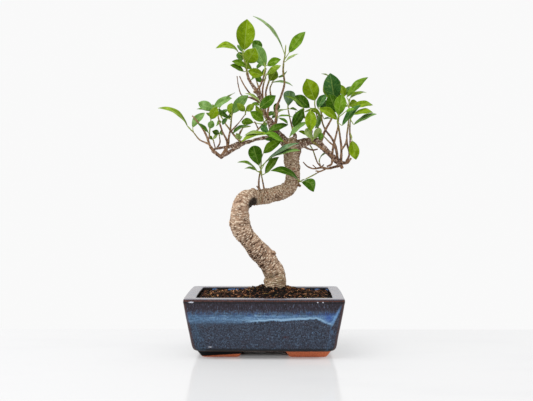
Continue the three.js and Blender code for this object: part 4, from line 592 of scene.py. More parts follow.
class Surface:
    """Collects grids of points into one mesh, with named attributes of three numbers each."""

    def __init__(self, *names):
        self.points, self.values = [], {name: [] for name in names}
        self.loops, self.starts = [], []
        self.count, self.corners = 0, 0

    def add_points(self, points, values):
        """Adds points (…, 3) with their values by name, and returns the first one's number."""
        first = self.count
        self.points.append(points.reshape(-1, 3))
        for name, kept in self.values.items():
            kept.append(np.broadcast_to(values[name], points.shape).reshape(-1, 3))
        self.count += len(self.points[-1])
        return first

    def add_faces(self, faces):
        """Adds faces (faces, corners), whose corners are numbers of points."""
        faces = np.asarray(faces, np.int64)
        self.loops.append(faces.ravel())
        self.starts.append(self.corners + np.arange(len(faces)) * faces.shape[1])
        self.corners += faces.size

    def tube(self, rings, **values):
        """rings is a grid (rows, around, 3). Neighbouring rows are joined, each row is closed
        on itself, and a fan about its middle closes the first and the last row."""
        rows, around = rings.shape[:2]
        first = self.add_points(rings, values)
        self.add_faces(grid(rows, around, first))
        near = {name: np.broadcast_to(values[name], rings.shape)[[0, -1], 0] for name in self.values}
        middle = self.add_points(rings[[0, -1]].mean(axis=1), near)
        k = np.arange(around)
        n = (k + 1) % around
        self.add_faces(np.stack([first + n, first + k, np.full(around, middle)], axis=-1))
        last = first + (rows - 1) * around
        self.add_faces(np.stack([last + k, last + n, np.full(around, middle + 1)], axis=-1))

    def copies(self, faces, places, **values):
        """The faces of one small shape, drawn for each copy in places (copies, points, 3)."""
        first = self.add_points(places, values)
        step = np.arange(len(places))[:, None, None] * places.shape[1]
        self.add_faces((first + step + faces[None]).reshape(-1, faces.shape[1]))

    def build(self, name, material, nodes, slot):
        """Makes the object, in the shared frame, ties it to its body and hides the imported parts of
        its nodes. slot is not used.
        """
        mesh = bpy.data.meshes.new(name)
        points = (np.concatenate(self.points) + POT_FOOT) / 1000
        loops, starts = np.concatenate(self.loops), np.concatenate(self.starts)
        mesh.vertices.add(len(points))
        mesh.vertices.foreach_set("co", points.astype(np.float32).ravel())
        mesh.loops.add(len(loops))
        mesh.loops.foreach_set("vertex_index", loops.astype(np.int32))
        mesh.polygons.add(len(starts))
        mesh.polygons.foreach_set("loop_start", starts.astype(np.int32))
        mesh.polygons.foreach_set("use_smooth", np.ones(len(starts), bool))
        mesh.update(calc_edges=True)
        for key, kept in self.values.items():
            layer = mesh.attributes.new(key, "FLOAT_VECTOR", "POINT")
            layer.data.foreach_set("vector", np.concatenate(kept).astype(np.float32).ravel())
        if mesh.validate():
            raise RuntimeError(f"{name} had faces that don't hold")
        mesh.materials.append(material)
        piece = bpy.data.objects.new(name, mesh)
        bpy.context.scene.collection.objects.link(piece)
        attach(piece, "root")
        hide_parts(*nodes)
        return piece


def spline(places, shares):
    """Centripetal Catmull-Rom curve through the places: the point and the direction at each
    share, where every span between two places takes an equal share from 0 to 1."""
    places = np.asarray(places, float)
    spans = len(places) - 1
    ends = [2 * places[0] - places[1]], [2 * places[-1] - places[-2]]
    p = np.concatenate([ends[0], places, ends[1]])
    at = np.clip(np.asarray(shares, float), 0, 1) * spans
    i = np.minimum(at.astype(int), spans - 1)
    w = (at - i)[:, None]
    a, b, c, d = p[i], p[i + 1], p[i + 2], p[i + 3]
    steps = (b - a, c - b, d - c)
    ab, bc, cd = (np.sqrt(np.linalg.norm(step, axis=1))[:, None] for step in steps)
    start = ((b - a) / ab - (c - a) / (ab + bc) + (c - b) / bc) * bc
    stop = ((c - b) / bc - (d - b) / (bc + cd) + (d - c) / cd) * bc
    square = 3 * (c - b) - 2 * start - stop
    cube = 2 * (b - c) + start + stop
    point = b + w * (start + w * (square + w * cube))
    return point, unit(start + w * (2 * square + 3 * w * cube))


def carried(along, first=(0, 1, 0)):
    """Two directions across a path at each station: the first is carried on from station to
    station with its part along the path taken off, and the second is square to both."""
    across = np.empty_like(along)
    carry = np.array(first, float)
    for i, direction in enumerate(along):
        carry = unit(carry - direction * carry.dot(direction))
        across[i] = carry
    return across, np.cross(along, across)


def lengthened(centres, along, radii, out, more_radii):
    """The path with a straight end: places out beyond the last one, with their radii."""
    centres = np.concatenate([centres, centres[-1] + along[-1] * out[:, None]])
    along = np.concatenate([along, np.repeat(along[-1:], len(out), axis=0)])
    return centres, along, np.concatenate([radii, more_radii])


def ring(centres, across, other, radii, sides):
    """Circles of the given radii about each centre, in the plane of the two directions."""
    angle = (2 * np.pi * np.arange(sides) / sides)[None, :, None]
    radii = np.asarray(radii, float).reshape(len(centres), -1, 1)
    out = np.cos(angle) * across[:, None] + np.sin(angle) * other[:, None]
    return centres[:, None] + radii * out


# ---- shader expressions ----
class Socket:
    """A shader node's output. Arithmetic on it adds Math nodes; node() adds any other node."""

    def __init__(self, tree, output):
        self.tree, self.output = tree, output

    def node(self, kind, settings=None, links=None, out=0):
        """Adds a node of that type: its settings first, then the values or links of its inputs
        by name or number. Returns the output asked for."""
        made = self.tree.nodes.new(kind)
        for key, value in (settings or {}).items():
            setattr(made, key, value)
        for key, value in (links or {}).items():
            self.feed(made.inputs[key], value)
        return Socket(self.tree, made.outputs[out])

    def feed(self, target, value):
        """Links a socket to the target input, or sets the input to a value."""
        if isinstance(value, Socket):
            self.tree.links.new(value.output, target)
        elif target.type == "RGBA":
            target.default_value = (*value, 1)
        else:
            target.default_value = value

    def math(self, operation, *others):
        links = dict(enumerate((self, *others)))
        return self.node("ShaderNodeMath", {"operation": operation}, links)

    def __add__(self, other):
        return self.math("ADD", other)

    def __sub__(self, other):
        return self.math("SUBTRACT", other)

    def __mul__(self, other):
        return self.math("MULTIPLY", other)

    def __rsub__(self, other):
        return self.node("ShaderNodeMath", {"operation": "SUBTRACT"}, {0: other, 1: self})

    __radd__ = __add__
    __rmul__ = __mul__

    def above(self, low, high):
        """0 below low, 1 above high, and a smooth step between."""
        settings = {"interpolation_type": "SMOOTHSTEP"}
        return self.node("ShaderNodeMapRange", settings, {0: self, 1: low, 2: high, 3: 0.0, 4: 1.0})

    def below(self, low, high):
        """1 below low, 0 above high, and a smooth step between."""
        return 1 - self.above(low, high)

    def near(self, middle, width):
        """1 at middle, falling to 0 at width from it."""
        return (self - middle).math("ABSOLUTE").below(0.0, width)

    def highest(self, other):
        return self.math("MAXIMUM", other)


def shade(colour):
    """What a colour input takes: a socket, or a colour of COLOURS or of a screen, made linear."""
    if isinstance(colour, Socket):
        return colour
    return linear(COLOURS[colour] if isinstance(colour, str) else colour)


class Finish:
    """A new material with its surface shader, and the places that its patterns are drawn on."""

    def __init__(self, name, specular):
        self.material = bpy.data.materials.new(name)
        self.material.use_nodes = True
        self.tree = self.material.node_tree
        self.shader = self.tree.nodes["Principled BSDF"]
        self.shader.inputs["Specular IOR Level"].default_value = specular
        start = Socket(self.tree, None)
        self.node, self.feed = start.node, start.feed
        links = {0: self.node("ShaderNodeTexCoord", out="Object"), 1: (1000, 1000, 1000), 2: tuple(-POT_FOOT)}
        self.place = self.node("ShaderNodeVectorMath", {"operation": "MULTIPLY_ADD"}, links)

    def parts(self, vector):
        """The three parts of a vector, as sockets."""
        return [self.node("ShaderNodeSeparateXYZ", None, {0: vector}, i) for i in range(3)]

    def vector(self, name):
        """An attribute that is three numbers at each point."""
        return self.node("ShaderNodeAttribute", {"attribute_name": name}, out="Vector")

    def stretched(self, scale, vector=None):
        """The place, or another vector, multiplied by a scale, or by one for each axis."""
        scale = scale if hasattr(scale, "__len__") else (scale, scale, scale)
        links = {0: vector or self.place, 1: scale}
        return self.node("ShaderNodeVectorMath", {"operation": "MULTIPLY"}, links)

    def noise(self, scale, detail=2.0, rough=0.5, vector=None):
        """Noise from 0 to 1 whose cells are 1/scale mm on each axis."""
        links = {"Vector": self.stretched(scale, vector), "Scale": 1.0, "Detail": detail, "Roughness": rough}
        return self.node("ShaderNodeTexNoise", None, links)

    def cells(self, scale):
        """Distance from the middle of cells that are 1/scale mm wide."""
        links = {"Vector": self.stretched(scale), "Scale": 1.0}
        return self.node("ShaderNodeTexVoronoi", None, links, "Distance")

    def tint(self, colour, other, share):
        """The colour mixed towards the other by share."""
        links = {0: share, 6: shade(colour), 7: shade(other)}
        return self.node("ShaderNodeMix", {"data_type": "RGBA"}, links, 2)

    def layered(self, colour, *layers):
        """The colour with each layer, its colour and its share, mixed over it in turn."""
        for other, share in layers:
            colour = self.tint(colour, other, share)
        return colour

    def deepened(self, colour, factors, share):
        """The colour multiplied by the factors, by share."""
        links = {0: share, 6: colour, 7: tuple(factors)}
        return self.node("ShaderNodeMix", {"data_type": "RGBA", "blend_type": "MULTIPLY"}, links, 2)

    def finished(self, colour, rough, height=None, strength=0.0, depth=0.0):
        """Feeds the shader, with bumps of that depth in millimetres. Returns the material."""
        self.feed(self.shader.inputs["Base Color"], colour)
        self.feed(self.shader.inputs["Roughness"], rough)
        if height:
            links = {"Height": height, "Strength": strength, "Distance": depth / 1000}
            self.feed(self.shader.inputs["Normal"], self.node("ShaderNodeBump", None, links))
        return self.material


# ---- the glaze ----
# Height of the band's foot at the left end of the front wall, and its kinks: where along the
# wall the line turns, and by how much its slope changes there.
BAND_FOOT = 42.2
BAND_KINKS = ((-74, 0.025), (1, 0.023), (59, -0.48))
# Middles, along the front wall, of the painted white highlights (glints) under the lip, with
# their half widths and strengths, and of the one over the left foot.
LIP_GLINTS = ((-82.0, 6.0, 1.0), (60.5, 2.0, 0.8), (66.5, 2.0, 0.8))
FOOT_GLINT = -61.0


class Glaze(Finish):
    """The patterns of the glaze. The attribute glaze holds the distance from the nearest corner
    and whether the place is inside. front is 1 on the front wall. foot_line is the height at
    which the band starts: the drawn line on the front wall, a slow wave on the others, both
    ragged. shown is 1 where the band's lower edge is sharp and bright. wobble moves the lines
    under the lip up and down."""

    def __init__(self):
        super().__init__("blue_glaze", 0.25)
        self.x, self.y, self.z = self.parts(self.place)
        self.corner, self.inside, _ = self.parts(self.vector("glaze"))
        slow = self.noise(0.035, 2) - 0.5
        strata = self.noise((0.07, 0.07, 0.75), 3, 0.7) - 0.5
        self.waves = self.noise((0.12, 0.12, 0.0), 3, 0.6) - 0.5
        self.patches = self.noise(0.13, 3, 0.65)
        self.grain = self.noise(0.62, 4, 0.85)
        self.freckles = self.noise(0.62, 4, 0.9)
        self.combed = self.noise((0.7, 0.7, 0.24), 4, 0.85)
        self.dust = self.noise((0.7, 0.7, 0.714), 3, 0.75)
        self.runs = self.noise((0.8, 0.8, 0.06), 3, 0.7)
        self.fine_runs = self.noise((1.9, 1.9, 0.22), 3, 0.7)
        self.front = (0 - self.y).above(54.0, 60.0)
        drawn = BAND_FOOT
        for place, slope in BAND_KINKS:
            drawn = drawn + (self.x - place).highest(0.0) * slope
        other = 44 + slow * 9
        foot_line = other + (drawn - other) * self.front + slow * 2
        self.foot_line = foot_line + strata * 2.5 + self.waves * 3.4
        shown = self.x.above(-28.0, -8.0) * (1 - self.x.above(58.0, 80.0) * 0.5) * self.front
        self.shown = shown + (1 - self.front) * self.patches.above(0.45, 0.6)
        self.wobble = slow * 1.2 + (self.dust - 0.5) * 1.6 + (self.runs - 0.5) * 1.8

    def level(self, share=1.0):
        """The height, moved up and down by a share of the wobble."""
        return self.z + self.wobble * share


def slate_glaze(g, look):
    """The wall below the band: slate, grained with blue and purple-brown, with one rusty spot on
    the front and a black line above the foot."""
    spot = g.x.near(24.4, 5.0) * g.z.near(26.0, 2.4) * g.front
    return g.layered(
        g.tint("slate_dark", look.slate, g.grain.above(0.36, 0.66)),
        ("purple_brown", g.patches.above(0.46, 0.7) * g.grain.above(0.3, 0.7) * 0.7),
        ("slate_ink", g.freckles.below(0.38, 0.48) * 0.75),
        ("slate_blue", g.dust.above(0.58, 0.68) * 0.6),
        ("slate_pale", g.freckles.above(0.58, 0.68) * 0.6),
        ("rusty_spot", spot * 0.8),
        ("foot_black", g.z.below(10.5, 13.5) * 0.95),
    )


def plum_glaze(g, look):
    """The wall above the band: plum with fine runs, combed with black and with grey-blue."""
    return g.layered(
        g.tint("plum_dark", look.plum, g.fine_runs.above(0.35, 0.65)),
        ("plum_black", g.combed.below(0.38, 0.48) * 0.8),
        ("plum_grey", g.combed.above(0.56, 0.66) * 0.65),
    )


def band_glaze(g, look):
    """The light blue band: long waves along it and short runs down it, a bright lower edge where
    it is shown, cobalt near the top, duller at the left and vivid near the right corner."""
    shifted = g.node("ShaderNodeVectorMath", {"operation": "ADD"}, {0: g.place, 1: g.waves * 6})
    wavy = g.noise((0.1, 0.1, 0.75), 3, 0.7, shifted)
    edge = (g.z + (g.dust - 0.5) * 2.0 - g.foot_line).near(1.5, 1.9) * g.shown
    vivid = g.x.near(73.5, 8.0) * g.z.near(49.0, 9.0) * g.front
    return g.layered(
        g.tint("band_dark", look.band, g.fine_runs.above(0.3, 0.6)),
        ("wave_dark", wavy.above(0.50, 0.62) * 0.65),
        ("wave_light", wavy.below(0.34, 0.44) * 0.6),
        ("band_pit", g.freckles.below(0.34, 0.44) * 0.5),
        ("band_seam", g.z.near(52.6, 1.5) * g.front * 0.5),
        ("band_edge", edge * 0.8),
        ("cobalt", g.z.near(53.0, 5.0) * g.patches.above(0.4, 0.6) * 0.6),
        ("band_dull", g.x.below(-40.0, 0.0) * g.grain.above(0.42, 0.6) * 0.7),
        ("band_vivid", vivid * (0.4 + g.grain * 0.6)),
    )


def wall_glaze(g, look, plum):
    """Slate, band and plum one above the other. Streaks pull the band's top up and down, and
    its foot is sharp where the band is shown and soft elsewhere."""
    streaks = (g.runs - 0.5) * 12 + (g.combed - 0.5) * 20 + (g.freckles - 0.5) * 9
    top = (g.z + streaks).above(49.5, 57.5)
    hidden = 1 - g.shown
    soft = 0.6 + hidden * 3.0
    low = g.z + (g.grain - 0.5) * 3.0 + (g.dust - 0.5) * hidden * 9.0 - g.foot_line
    upper = g.tint(band_glaze(g, look), plum, top)
    return g.tint(slate_glaze(g, look), upper, low.above(0 - soft, soft))


def corner_glaze(g, body, plum):
    """A blue run down beside each corner, a drip on the front wall near the right corner with
    plum beyond it, a blue haze beside the left corners, and brown where the glaze thins."""
    right = g.x.above(0.0, 10.0)
    run = g.corner.near(8.5 - g.z.above(40.0, 66.0) * right * 4.0, 3.2)
    run = run * (1 - g.z.above(52.0, 58.0) * (1 - right)) * (1 - g.front * g.z.above(36.0, 44.0))
    run = run * (0.25 + right * 0.75) * g.runs.above(0.36, 0.66)
    run = run * g.z.above(8.0, 44.0).highest(g.dust * 0.6)
    aside = g.x - g.z * 0.5
    beyond = aside.above(57.0, 59.0) * g.z.above(31.0, 37.0) * g.front
    drip = (aside + (g.dust - 0.5) * 3).near(56.0, 2.3)
    drip = drip * g.z.above(40.0, 45.0) * g.z.below(52.0, 66.0) * g.front
    haze = g.corner.above(2.0, 5.0) * g.corner.below(8.0, 18.0) * (1 - right) * g.z.below(40.0, 56.0)
    return g.layered(
        body,
        ("corner_run", run * (0.5 + g.freckles * 0.5)),
        (plum, beyond * 0.9),
        ("drip", drip * (0.15 + g.freckles)),
        ("corner_haze", haze * g.grain.above(0.4, 0.7) * 0.7),
        ("thin_glaze", g.corner.below(0.6, 3.4) * (g.grain * 0.5 + 0.45)),
    )


def lip_glaze(g, body, look):
    """Under the lip a black line, a rust line and a thin black one, with painted white highlights
    as glints; then the lip's own grey, speckled with brown and blue."""
    rust = g.layered(
        look.rust,
        ("rust_dark", g.grain.above(0.44, 0.6) * 0.9),
        ("rust_light", g.freckles.above(0.58, 0.68) * 0.6),
    )
    # Painted highlights: white glints under the lip, and one over the left foot.
    glints = 0.0
    for middle, width, strength in LIP_GLINTS:
        glints = glints + g.x.near(middle, width) * strength
    glints = glints * g.level().near(66.3, 1.5) * g.front
    low_glint = g.x.near(FOOT_GLINT, 6.0) * g.level(0.5).near(14.2, 1.3)
    glints = glints + low_glint * (0 - g.y).above(30.0, 40.0) * 0.75
    lip = g.layered(
        look.lip,
        ("lip_brown", g.freckles.above(0.54, 0.64) * 0.75),
        ("lip_blue", g.patches.above(0.5, 0.65) * 0.5),
    )
    return g.layered(
        body,
        ("line_black", g.level().near(65.8, 2.0) * 0.85),
        (rust, g.level(0.6).near(67.7, 1.1)),
        ("line_black", g.level(0.3).near(68.7, 0.5) * 0.6),
        ("painted_glint", (glints + (g.dust - 0.5) * 0.8).above(0.3, 0.8) * 0.8),
        (lip, g.level(0.3).above(68.8, 69.3)),
    )


def glaze_finish(look):
    """Streaked blue glaze on dark clay: the wall, its corners and its lip; the inside is dark
    brown, with a painted reflection of the bright room as blue patches near the top of the back
    wall; the pot's foot and underside are bare."""
    g = Glaze()
    plum = plum_glaze(g, look)
    body = corner_glaze(g, wall_glaze(g, look, plum), plum)
    # Painted reflection: blue patches near the top of the inside of the back wall.
    blue = g.level().near(66.8, 2.0) * g.y.above(40.0, 46.0) * g.noise(0.07, 2).above(0.38, 0.48)
    within = g.tint("inside_brown", "inside_sky_reflection", blue * (0.6 + g.freckles * 0.8))
    bare = g.z.below(8.8, 9.4)
    colour = g.layered(
        lip_glaze(g, body, look),
        (within, g.inside * g.z.below(68.9, 69.6)),
        ("dark_clay", bare),
    )
    rough = 0.12 + g.patches * 0.12 + bare * 0.5
    return g.finished(colour, rough, g.grain * 0.3 + g.runs * 0.3 + g.noise(0.3, 2) * 0.5, 0.35, 0.35)


# ---- other finishes ----
FLOOR_ROUGH = 0.13
COAT_ROUGH = 0.22


def clay_finish():
    """The feet: glaze runs over the left pair but for a wedge along the ground; the right pair
    is bare orange clay with a little glaze at the top."""
    f = Finish("bare_clay", 0.12)
    x, _, z = f.parts(f.place)
    grain = f.noise(0.8, 4, 0.7)
    clay = f.tint("clay", "clay_deep", grain.above(0.42, 0.7))
    clay = f.tint(clay, "clay_speck", f.noise(2.5, 2).above(0.55, 0.75) * 0.5)
    line = 0.9 + (x + 74).highest(0.0) * 0.07 + x.above(-5.0, 5.0) * 4.5
    glazed = (z + (grain - 0.5) * 2).above(line, line + 0.6)
    dark = f.tint("foot_glaze", "foot_glaze_blue", grain.above(0.55, 0.75))
    return f.finished(f.tint(clay, dark, glazed), 0.75 - glazed * 0.35, grain, 0.5, 0.4)


def trunk_marks(f, wood, patch, fine, old, twig):
    """What only the trunk and limbs have: pale dots on the upper trunk, rusty spots, painted
    shade in the crease on the front with its mossy edge, a rusty scar, and moss at the fork and
    the foot."""
    x, y, z = f.parts(f.place)
    upper = z.above(172.0, 186.0) * x.above(-14.0, -4.0) * old
    wood = f.deepened(wood, (0.62, 0.62, 0.56), upper * (0.25 + patch * 0.55))
    wood = f.deepened(wood, (0.85, 0.82, 0.77), old * (1 - twig))
    spots = f.noise(0.42, 2, 0.5).above(0.60, 0.68) * (1 - twig) * (0.4 + upper * 0.6)
    beside, down = from_crease(x, z)
    # Painted shade: the crease on the front, where the trunk folds over, is painted near black.
    crease = (beside.near(0.0, 9.0) * down.near(0.0, 15.0) + fine * 0.5).above(0.5, 0.95)
    fork = x.near(29.0, 14.0) * z.near(249.0, 13.0) * (1 - twig)
    foot = z.below(84.0, 104.0) * old
    return f.layered(
        wood,
        ("bark_dot", f.cells(0.42).below(0.22, 0.34) * upper * 0.6),
        ("bark_rust", spots * 0.75),
        ("crease_painted_shade", crease * y.below(2.0, 7.0) * 0.94),
        ("crease_edge", beside.near(6.5, 3.5) * z.near(180.0, 8.0) * 0.5),
        ("scar", x.near(-3.0, 1.6) * z.near(178.0, 9.0) * patch.above(0.4, 0.6) * 0.8),
        ("moss", (fork + foot * 0.8) * f.noise(0.35, 3, 0.7).above(0.42, 0.6) * 0.6),
    )


def bark_finish(look):
    """Bark. The attribute bark holds the wrinkles' height, the share of a pale raised pore or
    of a twig's green end, and the wood's age: 0 for the grey-tan trunk, 0.5 for the red-brown
    limbs, 1 for a young twig. Hollows are dark and ridges pale, and fine specks of both lie
    over them."""
    f = Finish("bark", 0.2)
    x, _, z = f.parts(f.place)
    height, pore, age = f.parts(f.vector("bark"))
    limb_wood = age.above(0.1, 0.4)
    twig = age.above(0.6, 0.9)
    old = 1 - limb_wood
    fine = f.noise(1.6, 4, 0.7)
    speck = f.noise(1.6, 3, 0.8)
    broad = f.noise(0.09, 3, 0.6)
    patch = f.noise(0.28, 3, 0.65)
    trunk_wood = f.layered(
        look.bark,
        ("bark_tan", broad.above(0.45, 0.7) * 0.6),
        ("bark_pale", patch.above(0.45, 0.65) * 0.5),
    )
    red = f.tint(look.limb, "limb_grey", patch.above(0.48, 0.66) * 0.75)
    young = f.layered(
        look.twig,
        ("twig_brown", broad.above(0.4, 0.65) * 0.6),
        ("twig_green", pore * 0.85),
    )
    wood = f.layered(trunk_wood, (red, limb_wood), (young, twig))
    # Over the trunk's lower loop, most on its left part, the crevices widen: deeper bark there, and painted
    # shade on that side.
    bend = z.below(105.0, 155.0) * z.above(84.0, 98.0) * old
    level = height + (fine - 0.5) * 1.1 - bend * x.below(-8.0, 12.0) * 0.3 - bend * 0.1
    crevice = f.tint("bark_crevice", "limb_crevice", limb_wood)
    wood = f.layered(
        f.tint(crevice, wood, level.above(-0.75, 0.05)),
        ("bark_ridge", level.above(0.2, 0.8) * (0.7 - limb_wood * 0.3)),
        ("bark_pore", pore.above(0.25, 0.6) * (1 - twig) * (0.85 - limb_wood * 0.3)),
        ("bark_fleck", speck.above(0.60, 0.68) * (1 - twig * 0.6) * 0.6),
        ("bark_pit", speck.below(0.34, 0.42) * (1 - twig * 0.5) * 0.7),
    )
    wood = trunk_marks(f, wood, patch, fine, old, twig)
    relief = fine * 0.6 + f.noise((2.5, 2.5, 5.0), 3, 0.6) * 0.4
    return f.finished(wood, 0.8 + fine * 0.15 - twig * 0.15, relief, 0.7, 0.6)


def leaf_finish(name, look):
    """A leathery leaf. The attribute tone is its colour and blade holds the place across it
    (-1 to 1, or more on stalks and stems), along it (0 to 1) and the underside (1). One half
    of the blade is painted in shade, deeper than the other; darker patches and slanting streaks
    vary it, a pale midrib runs up the middle, and a coat shines on parts of the face. The
    underside is paler and dull."""
    f = Finish(name, 0.05)
    f.shader.inputs["Coat Roughness"].default_value = COAT_ROUGH
    across, along, under = f.parts(f.vector("blade"))
    out = across.math("ABSOLUTE")
    blade = out.below(1.05, 1.2)
    mottle = f.noise(0.2, 3, 0.6)
    # Painted shade: one half of each blade, its side picked per leaf, is darker as if its fold shaded it.
    turned_to = f.noise(0.04, 1, 0.5).above(0.47, 0.53)
    right = across.above(-0.1, 0.1)
    painted_shade_half = right * turned_to + (1 - right) * (1 - turned_to)
    slant = along * 9 - out * 1.8
    places = f.node("ShaderNodeCombineXYZ", None, {0: out, 1: slant * 1.4, 2: mottle * 3})
    streak = f.noise(1.6, 3, 0.65, places)
    deep = painted_shade_half * 0.38 + mottle.above(0.45, 0.68) * 0.4 + along.below(0.0, 0.3) * 0.25
    deep = deep + streak.below(0.34, 0.5) * 0.35
    face = f.deepened(f.vector("tone"), look.depth, (deep * blade).math("MINIMUM", 0.9))
    face = f.tint(face, "leaf_light", streak.above(0.52, 0.68) * (0.35 - painted_shade_half * 0.2) * blade)
    rib = out.below(0.02, 0.09) * blade
    veins = slant.math("FRACT").near(0.5, 0.14) * blade * out.below(0.8, 1.0)
    rim = out.above(0.9, 1.0) * blade
    face = f.tint(face, look.vein, rib * 0.26 + veins * 0.07 + rim * 0.25)
    back = f.tint(face, "leaf_back", 0.36)
    shine = (1 - painted_shade_half) * mottle.below(0.36, 0.56) * (0.35 + streak * 0.9) * blade * (1 - under)
    f.feed(f.shader.inputs["Coat Weight"], shine * 0.5)
    relief = f.noise(0.9, 3) * 0.35 - rib * 0.6 - veins * 0.35
    face = f.tint(face, back, under * blade)
    return f.finished(face, 0.42 + mottle * 0.16 + under * 0.2, relief, 0.5, 0.35)


def soil_finish(look):
    """Dark peat. The attribute crumb holds the height on its crumb and the crumb's own tint.
    The low places between crumbs are painted near black as shade.
    """
    f = Finish("peat", 0.2)
    height, tint, _ = f.parts(f.vector("crumb"))
    fine = f.noise(1.7, 4, 0.75)
    peat = f.layered(
        look.peat,
        ("peat_pale", tint.above(0.55, 0.85) * 0.9),
        ("peat_grit", fine.above(0.60, 0.70) * 0.6),
    )
    # Painted shade: near black in the low places between crumbs.
    peat = f.tint("peat_gap_shade", peat, (height + fine * 0.5).above(0.68, 1.16))
    return f.finished(peat, 0.85 + fine * 0.15, fine + f.noise(4.0, 2) * 0.3, 0.9, 0.7)


def litter_finish():
    """Bark chips and fibres: the attribute tone is each one's colour, with a wood grain."""
    f = Finish("wood_litter", 0.25)
    grain = f.noise((0.6, 2.2, 2.2), 3, 0.6)
    colour = f.tint(f.vector("tone"), "litter_grain", grain.above(0.45, 0.7) * 0.6)
    return f.finished(colour, 0.75 + grain * 0.2, grain, 0.6, 0.4)


def net_finish():
    """Dull black moulded plastic of the drain nets."""
    f = Finish("black_net", 0.4)
    grain = f.noise(1.2, 3)
    return f.finished(f.tint("net_black", "net_grey", grain), 0.42 + grain * 0.2, grain, 0.3, 0.1)


def floor_finish(look):
    """A pale, faintly veined floor. A share of white glow, which is painted light, keeps shadows
    on it light. There is less of it under the pot, so that a darker shadow shows there, and from
    a little way behind the pot there is only glow, so that the floor runs into the white room."""
    f = Finish("pale_floor", 0.2)
    x, y, _ = f.parts(f.place)
    vein = f.noise((0.004, 0.012, 1), 4, 0.6)
    # Less painted light under the pot and a little in front of it, so the shadow there stays dark.
    less_painted_light_under_pot = x.near(0.0, 95.0).above(0.05, 0.4) * y.above(-62.0, -50.0) * y.below(40.0, 60.0)
    share = 0.4 - less_painted_light_under_pot * (y.above(-40.0, -22.0) * 0.16 + 0.24)
    glow = f.node("ShaderNodeEmission", None, {"Color": (0.95, 0.95, 0.95), "Strength": 1.0})
    lit = Socket(f.tree, f.shader.outputs[0])
    links = {0: y.above(140.0, 165.0).highest(share), 1: lit, 2: glow}
    mix = f.node("ShaderNodeMixShader", None, links)
    f.feed(f.tree.nodes["Material Output"].inputs["Surface"], mix)
    return f.finished(f.tint(look.floor, "floor_vein", vein.above(0.45, 0.7) * 0.6), FLOOR_ROUGH)


# ---- pot ----
def oblong(half_length, half_depth, radius, height, bow=0.9, corner=CORNER_STEPS, side=SIDE_STEPS):
    """Rings (rows, around, 3) with round corners and sides that bow out by bow*4*t*(1 - t),
    one for each row of the given sizes. Also returns each point's distance from its corner."""
    sizes = np.broadcast_arrays(*(np.atleast_1d(v) for v in (half_length, half_depth, radius, height)))
    length, depth, r, z = (size[:, None].astype(float) for size in sizes)
    xs, ys, gaps = [], [], []
    signs = [(1, -1), (1, 1), (-1, 1), (-1, -1)]
    for q, (sx, sy) in enumerate(signs):
        turn = (q - 1 + np.arange(corner + 1) / corner) * np.pi / 2
        xs.append(sx * (length - r) + r * np.cos(turn))
        ys.append(sy * (depth - r) + r * np.sin(turn))
        gaps.append(np.abs(turn - turn.mean()) * r)
        nx, ny = signs[(q + 1) % 4]
        face = np.array([math.cos(q * math.pi / 2), math.sin(q * math.pi / 2)])
        x1, y1 = nx * (length - r) + r * face[0], ny * (depth - r) + r * face[1]
        x0, y0 = xs[-1][:, -1:], ys[-1][:, -1:]
        t = np.arange(1, side) / side
        out = bow * 4 * t * (1 - t)
        xs.append(x0 + (x1 - x0) * t + out * face[0])
        ys.append(y0 + (y1 - y0) * t + out * face[1])
        gaps.append(np.minimum(t, 1 - t) * np.hypot(x1 - x0, y1 - y0) + r * np.pi / 4)
    x, y = np.concatenate(xs, axis=1), np.concatenate(ys, axis=1)
    return np.stack([x, y, np.broadcast_to(z, x.shape)], axis=-1), np.concatenate(gaps, axis=1)


# Up the outside of the wall, over the lip and down the inside: [height, inset, corner radius].
WALL = [
    (8.2, 14.2, 6.5), (9, 12.2, 6), (10.6, 10.3, 5.6), (14.2, 8.9, 5.2), (22, 7.5, 5),
    (34, 5.4, 4.8), (46, 3.3, 4.5), (57, 1.3, 4.3), (64, 0.4, 4.1), (65.4, 0, 4), (68, 0, 4),
    (69.5, 0.5, 4), (70, 2, 4), (70, 12.7, 4), (69, 13.7, 4), (62, 13.7, 4), (46, 13.7, 5),
    (24, 18.7, 7), (16, 22.7, 8),
]
# The share of the profile's rows after which they are inside.
INSIDE_SHARE = 0.68
# The distance from a corner that the attribute glaze gives for the whole floor.
FLOOR_GAP = 30
# Points across the floor's middle, from the back wall to the front one.
FLOOR_STEPS = 24


def rounded(profile, rounds=2):
    """The profile with its corners cut at a quarter and three quarters of each span, again and
    again; its two ends stay."""
    points = np.array(profile, float)
    for _ in range(rounds):
        a, b = points[:-1], points[1:]
        cut = np.stack([a * 0.75 + b * 0.25, a * 0.25 + b * 0.75], axis=1)
        cut = cut.reshape(-1, points.shape[1])
        points = np.concatenate([points[:1], cut, points[-1:]])
    return points


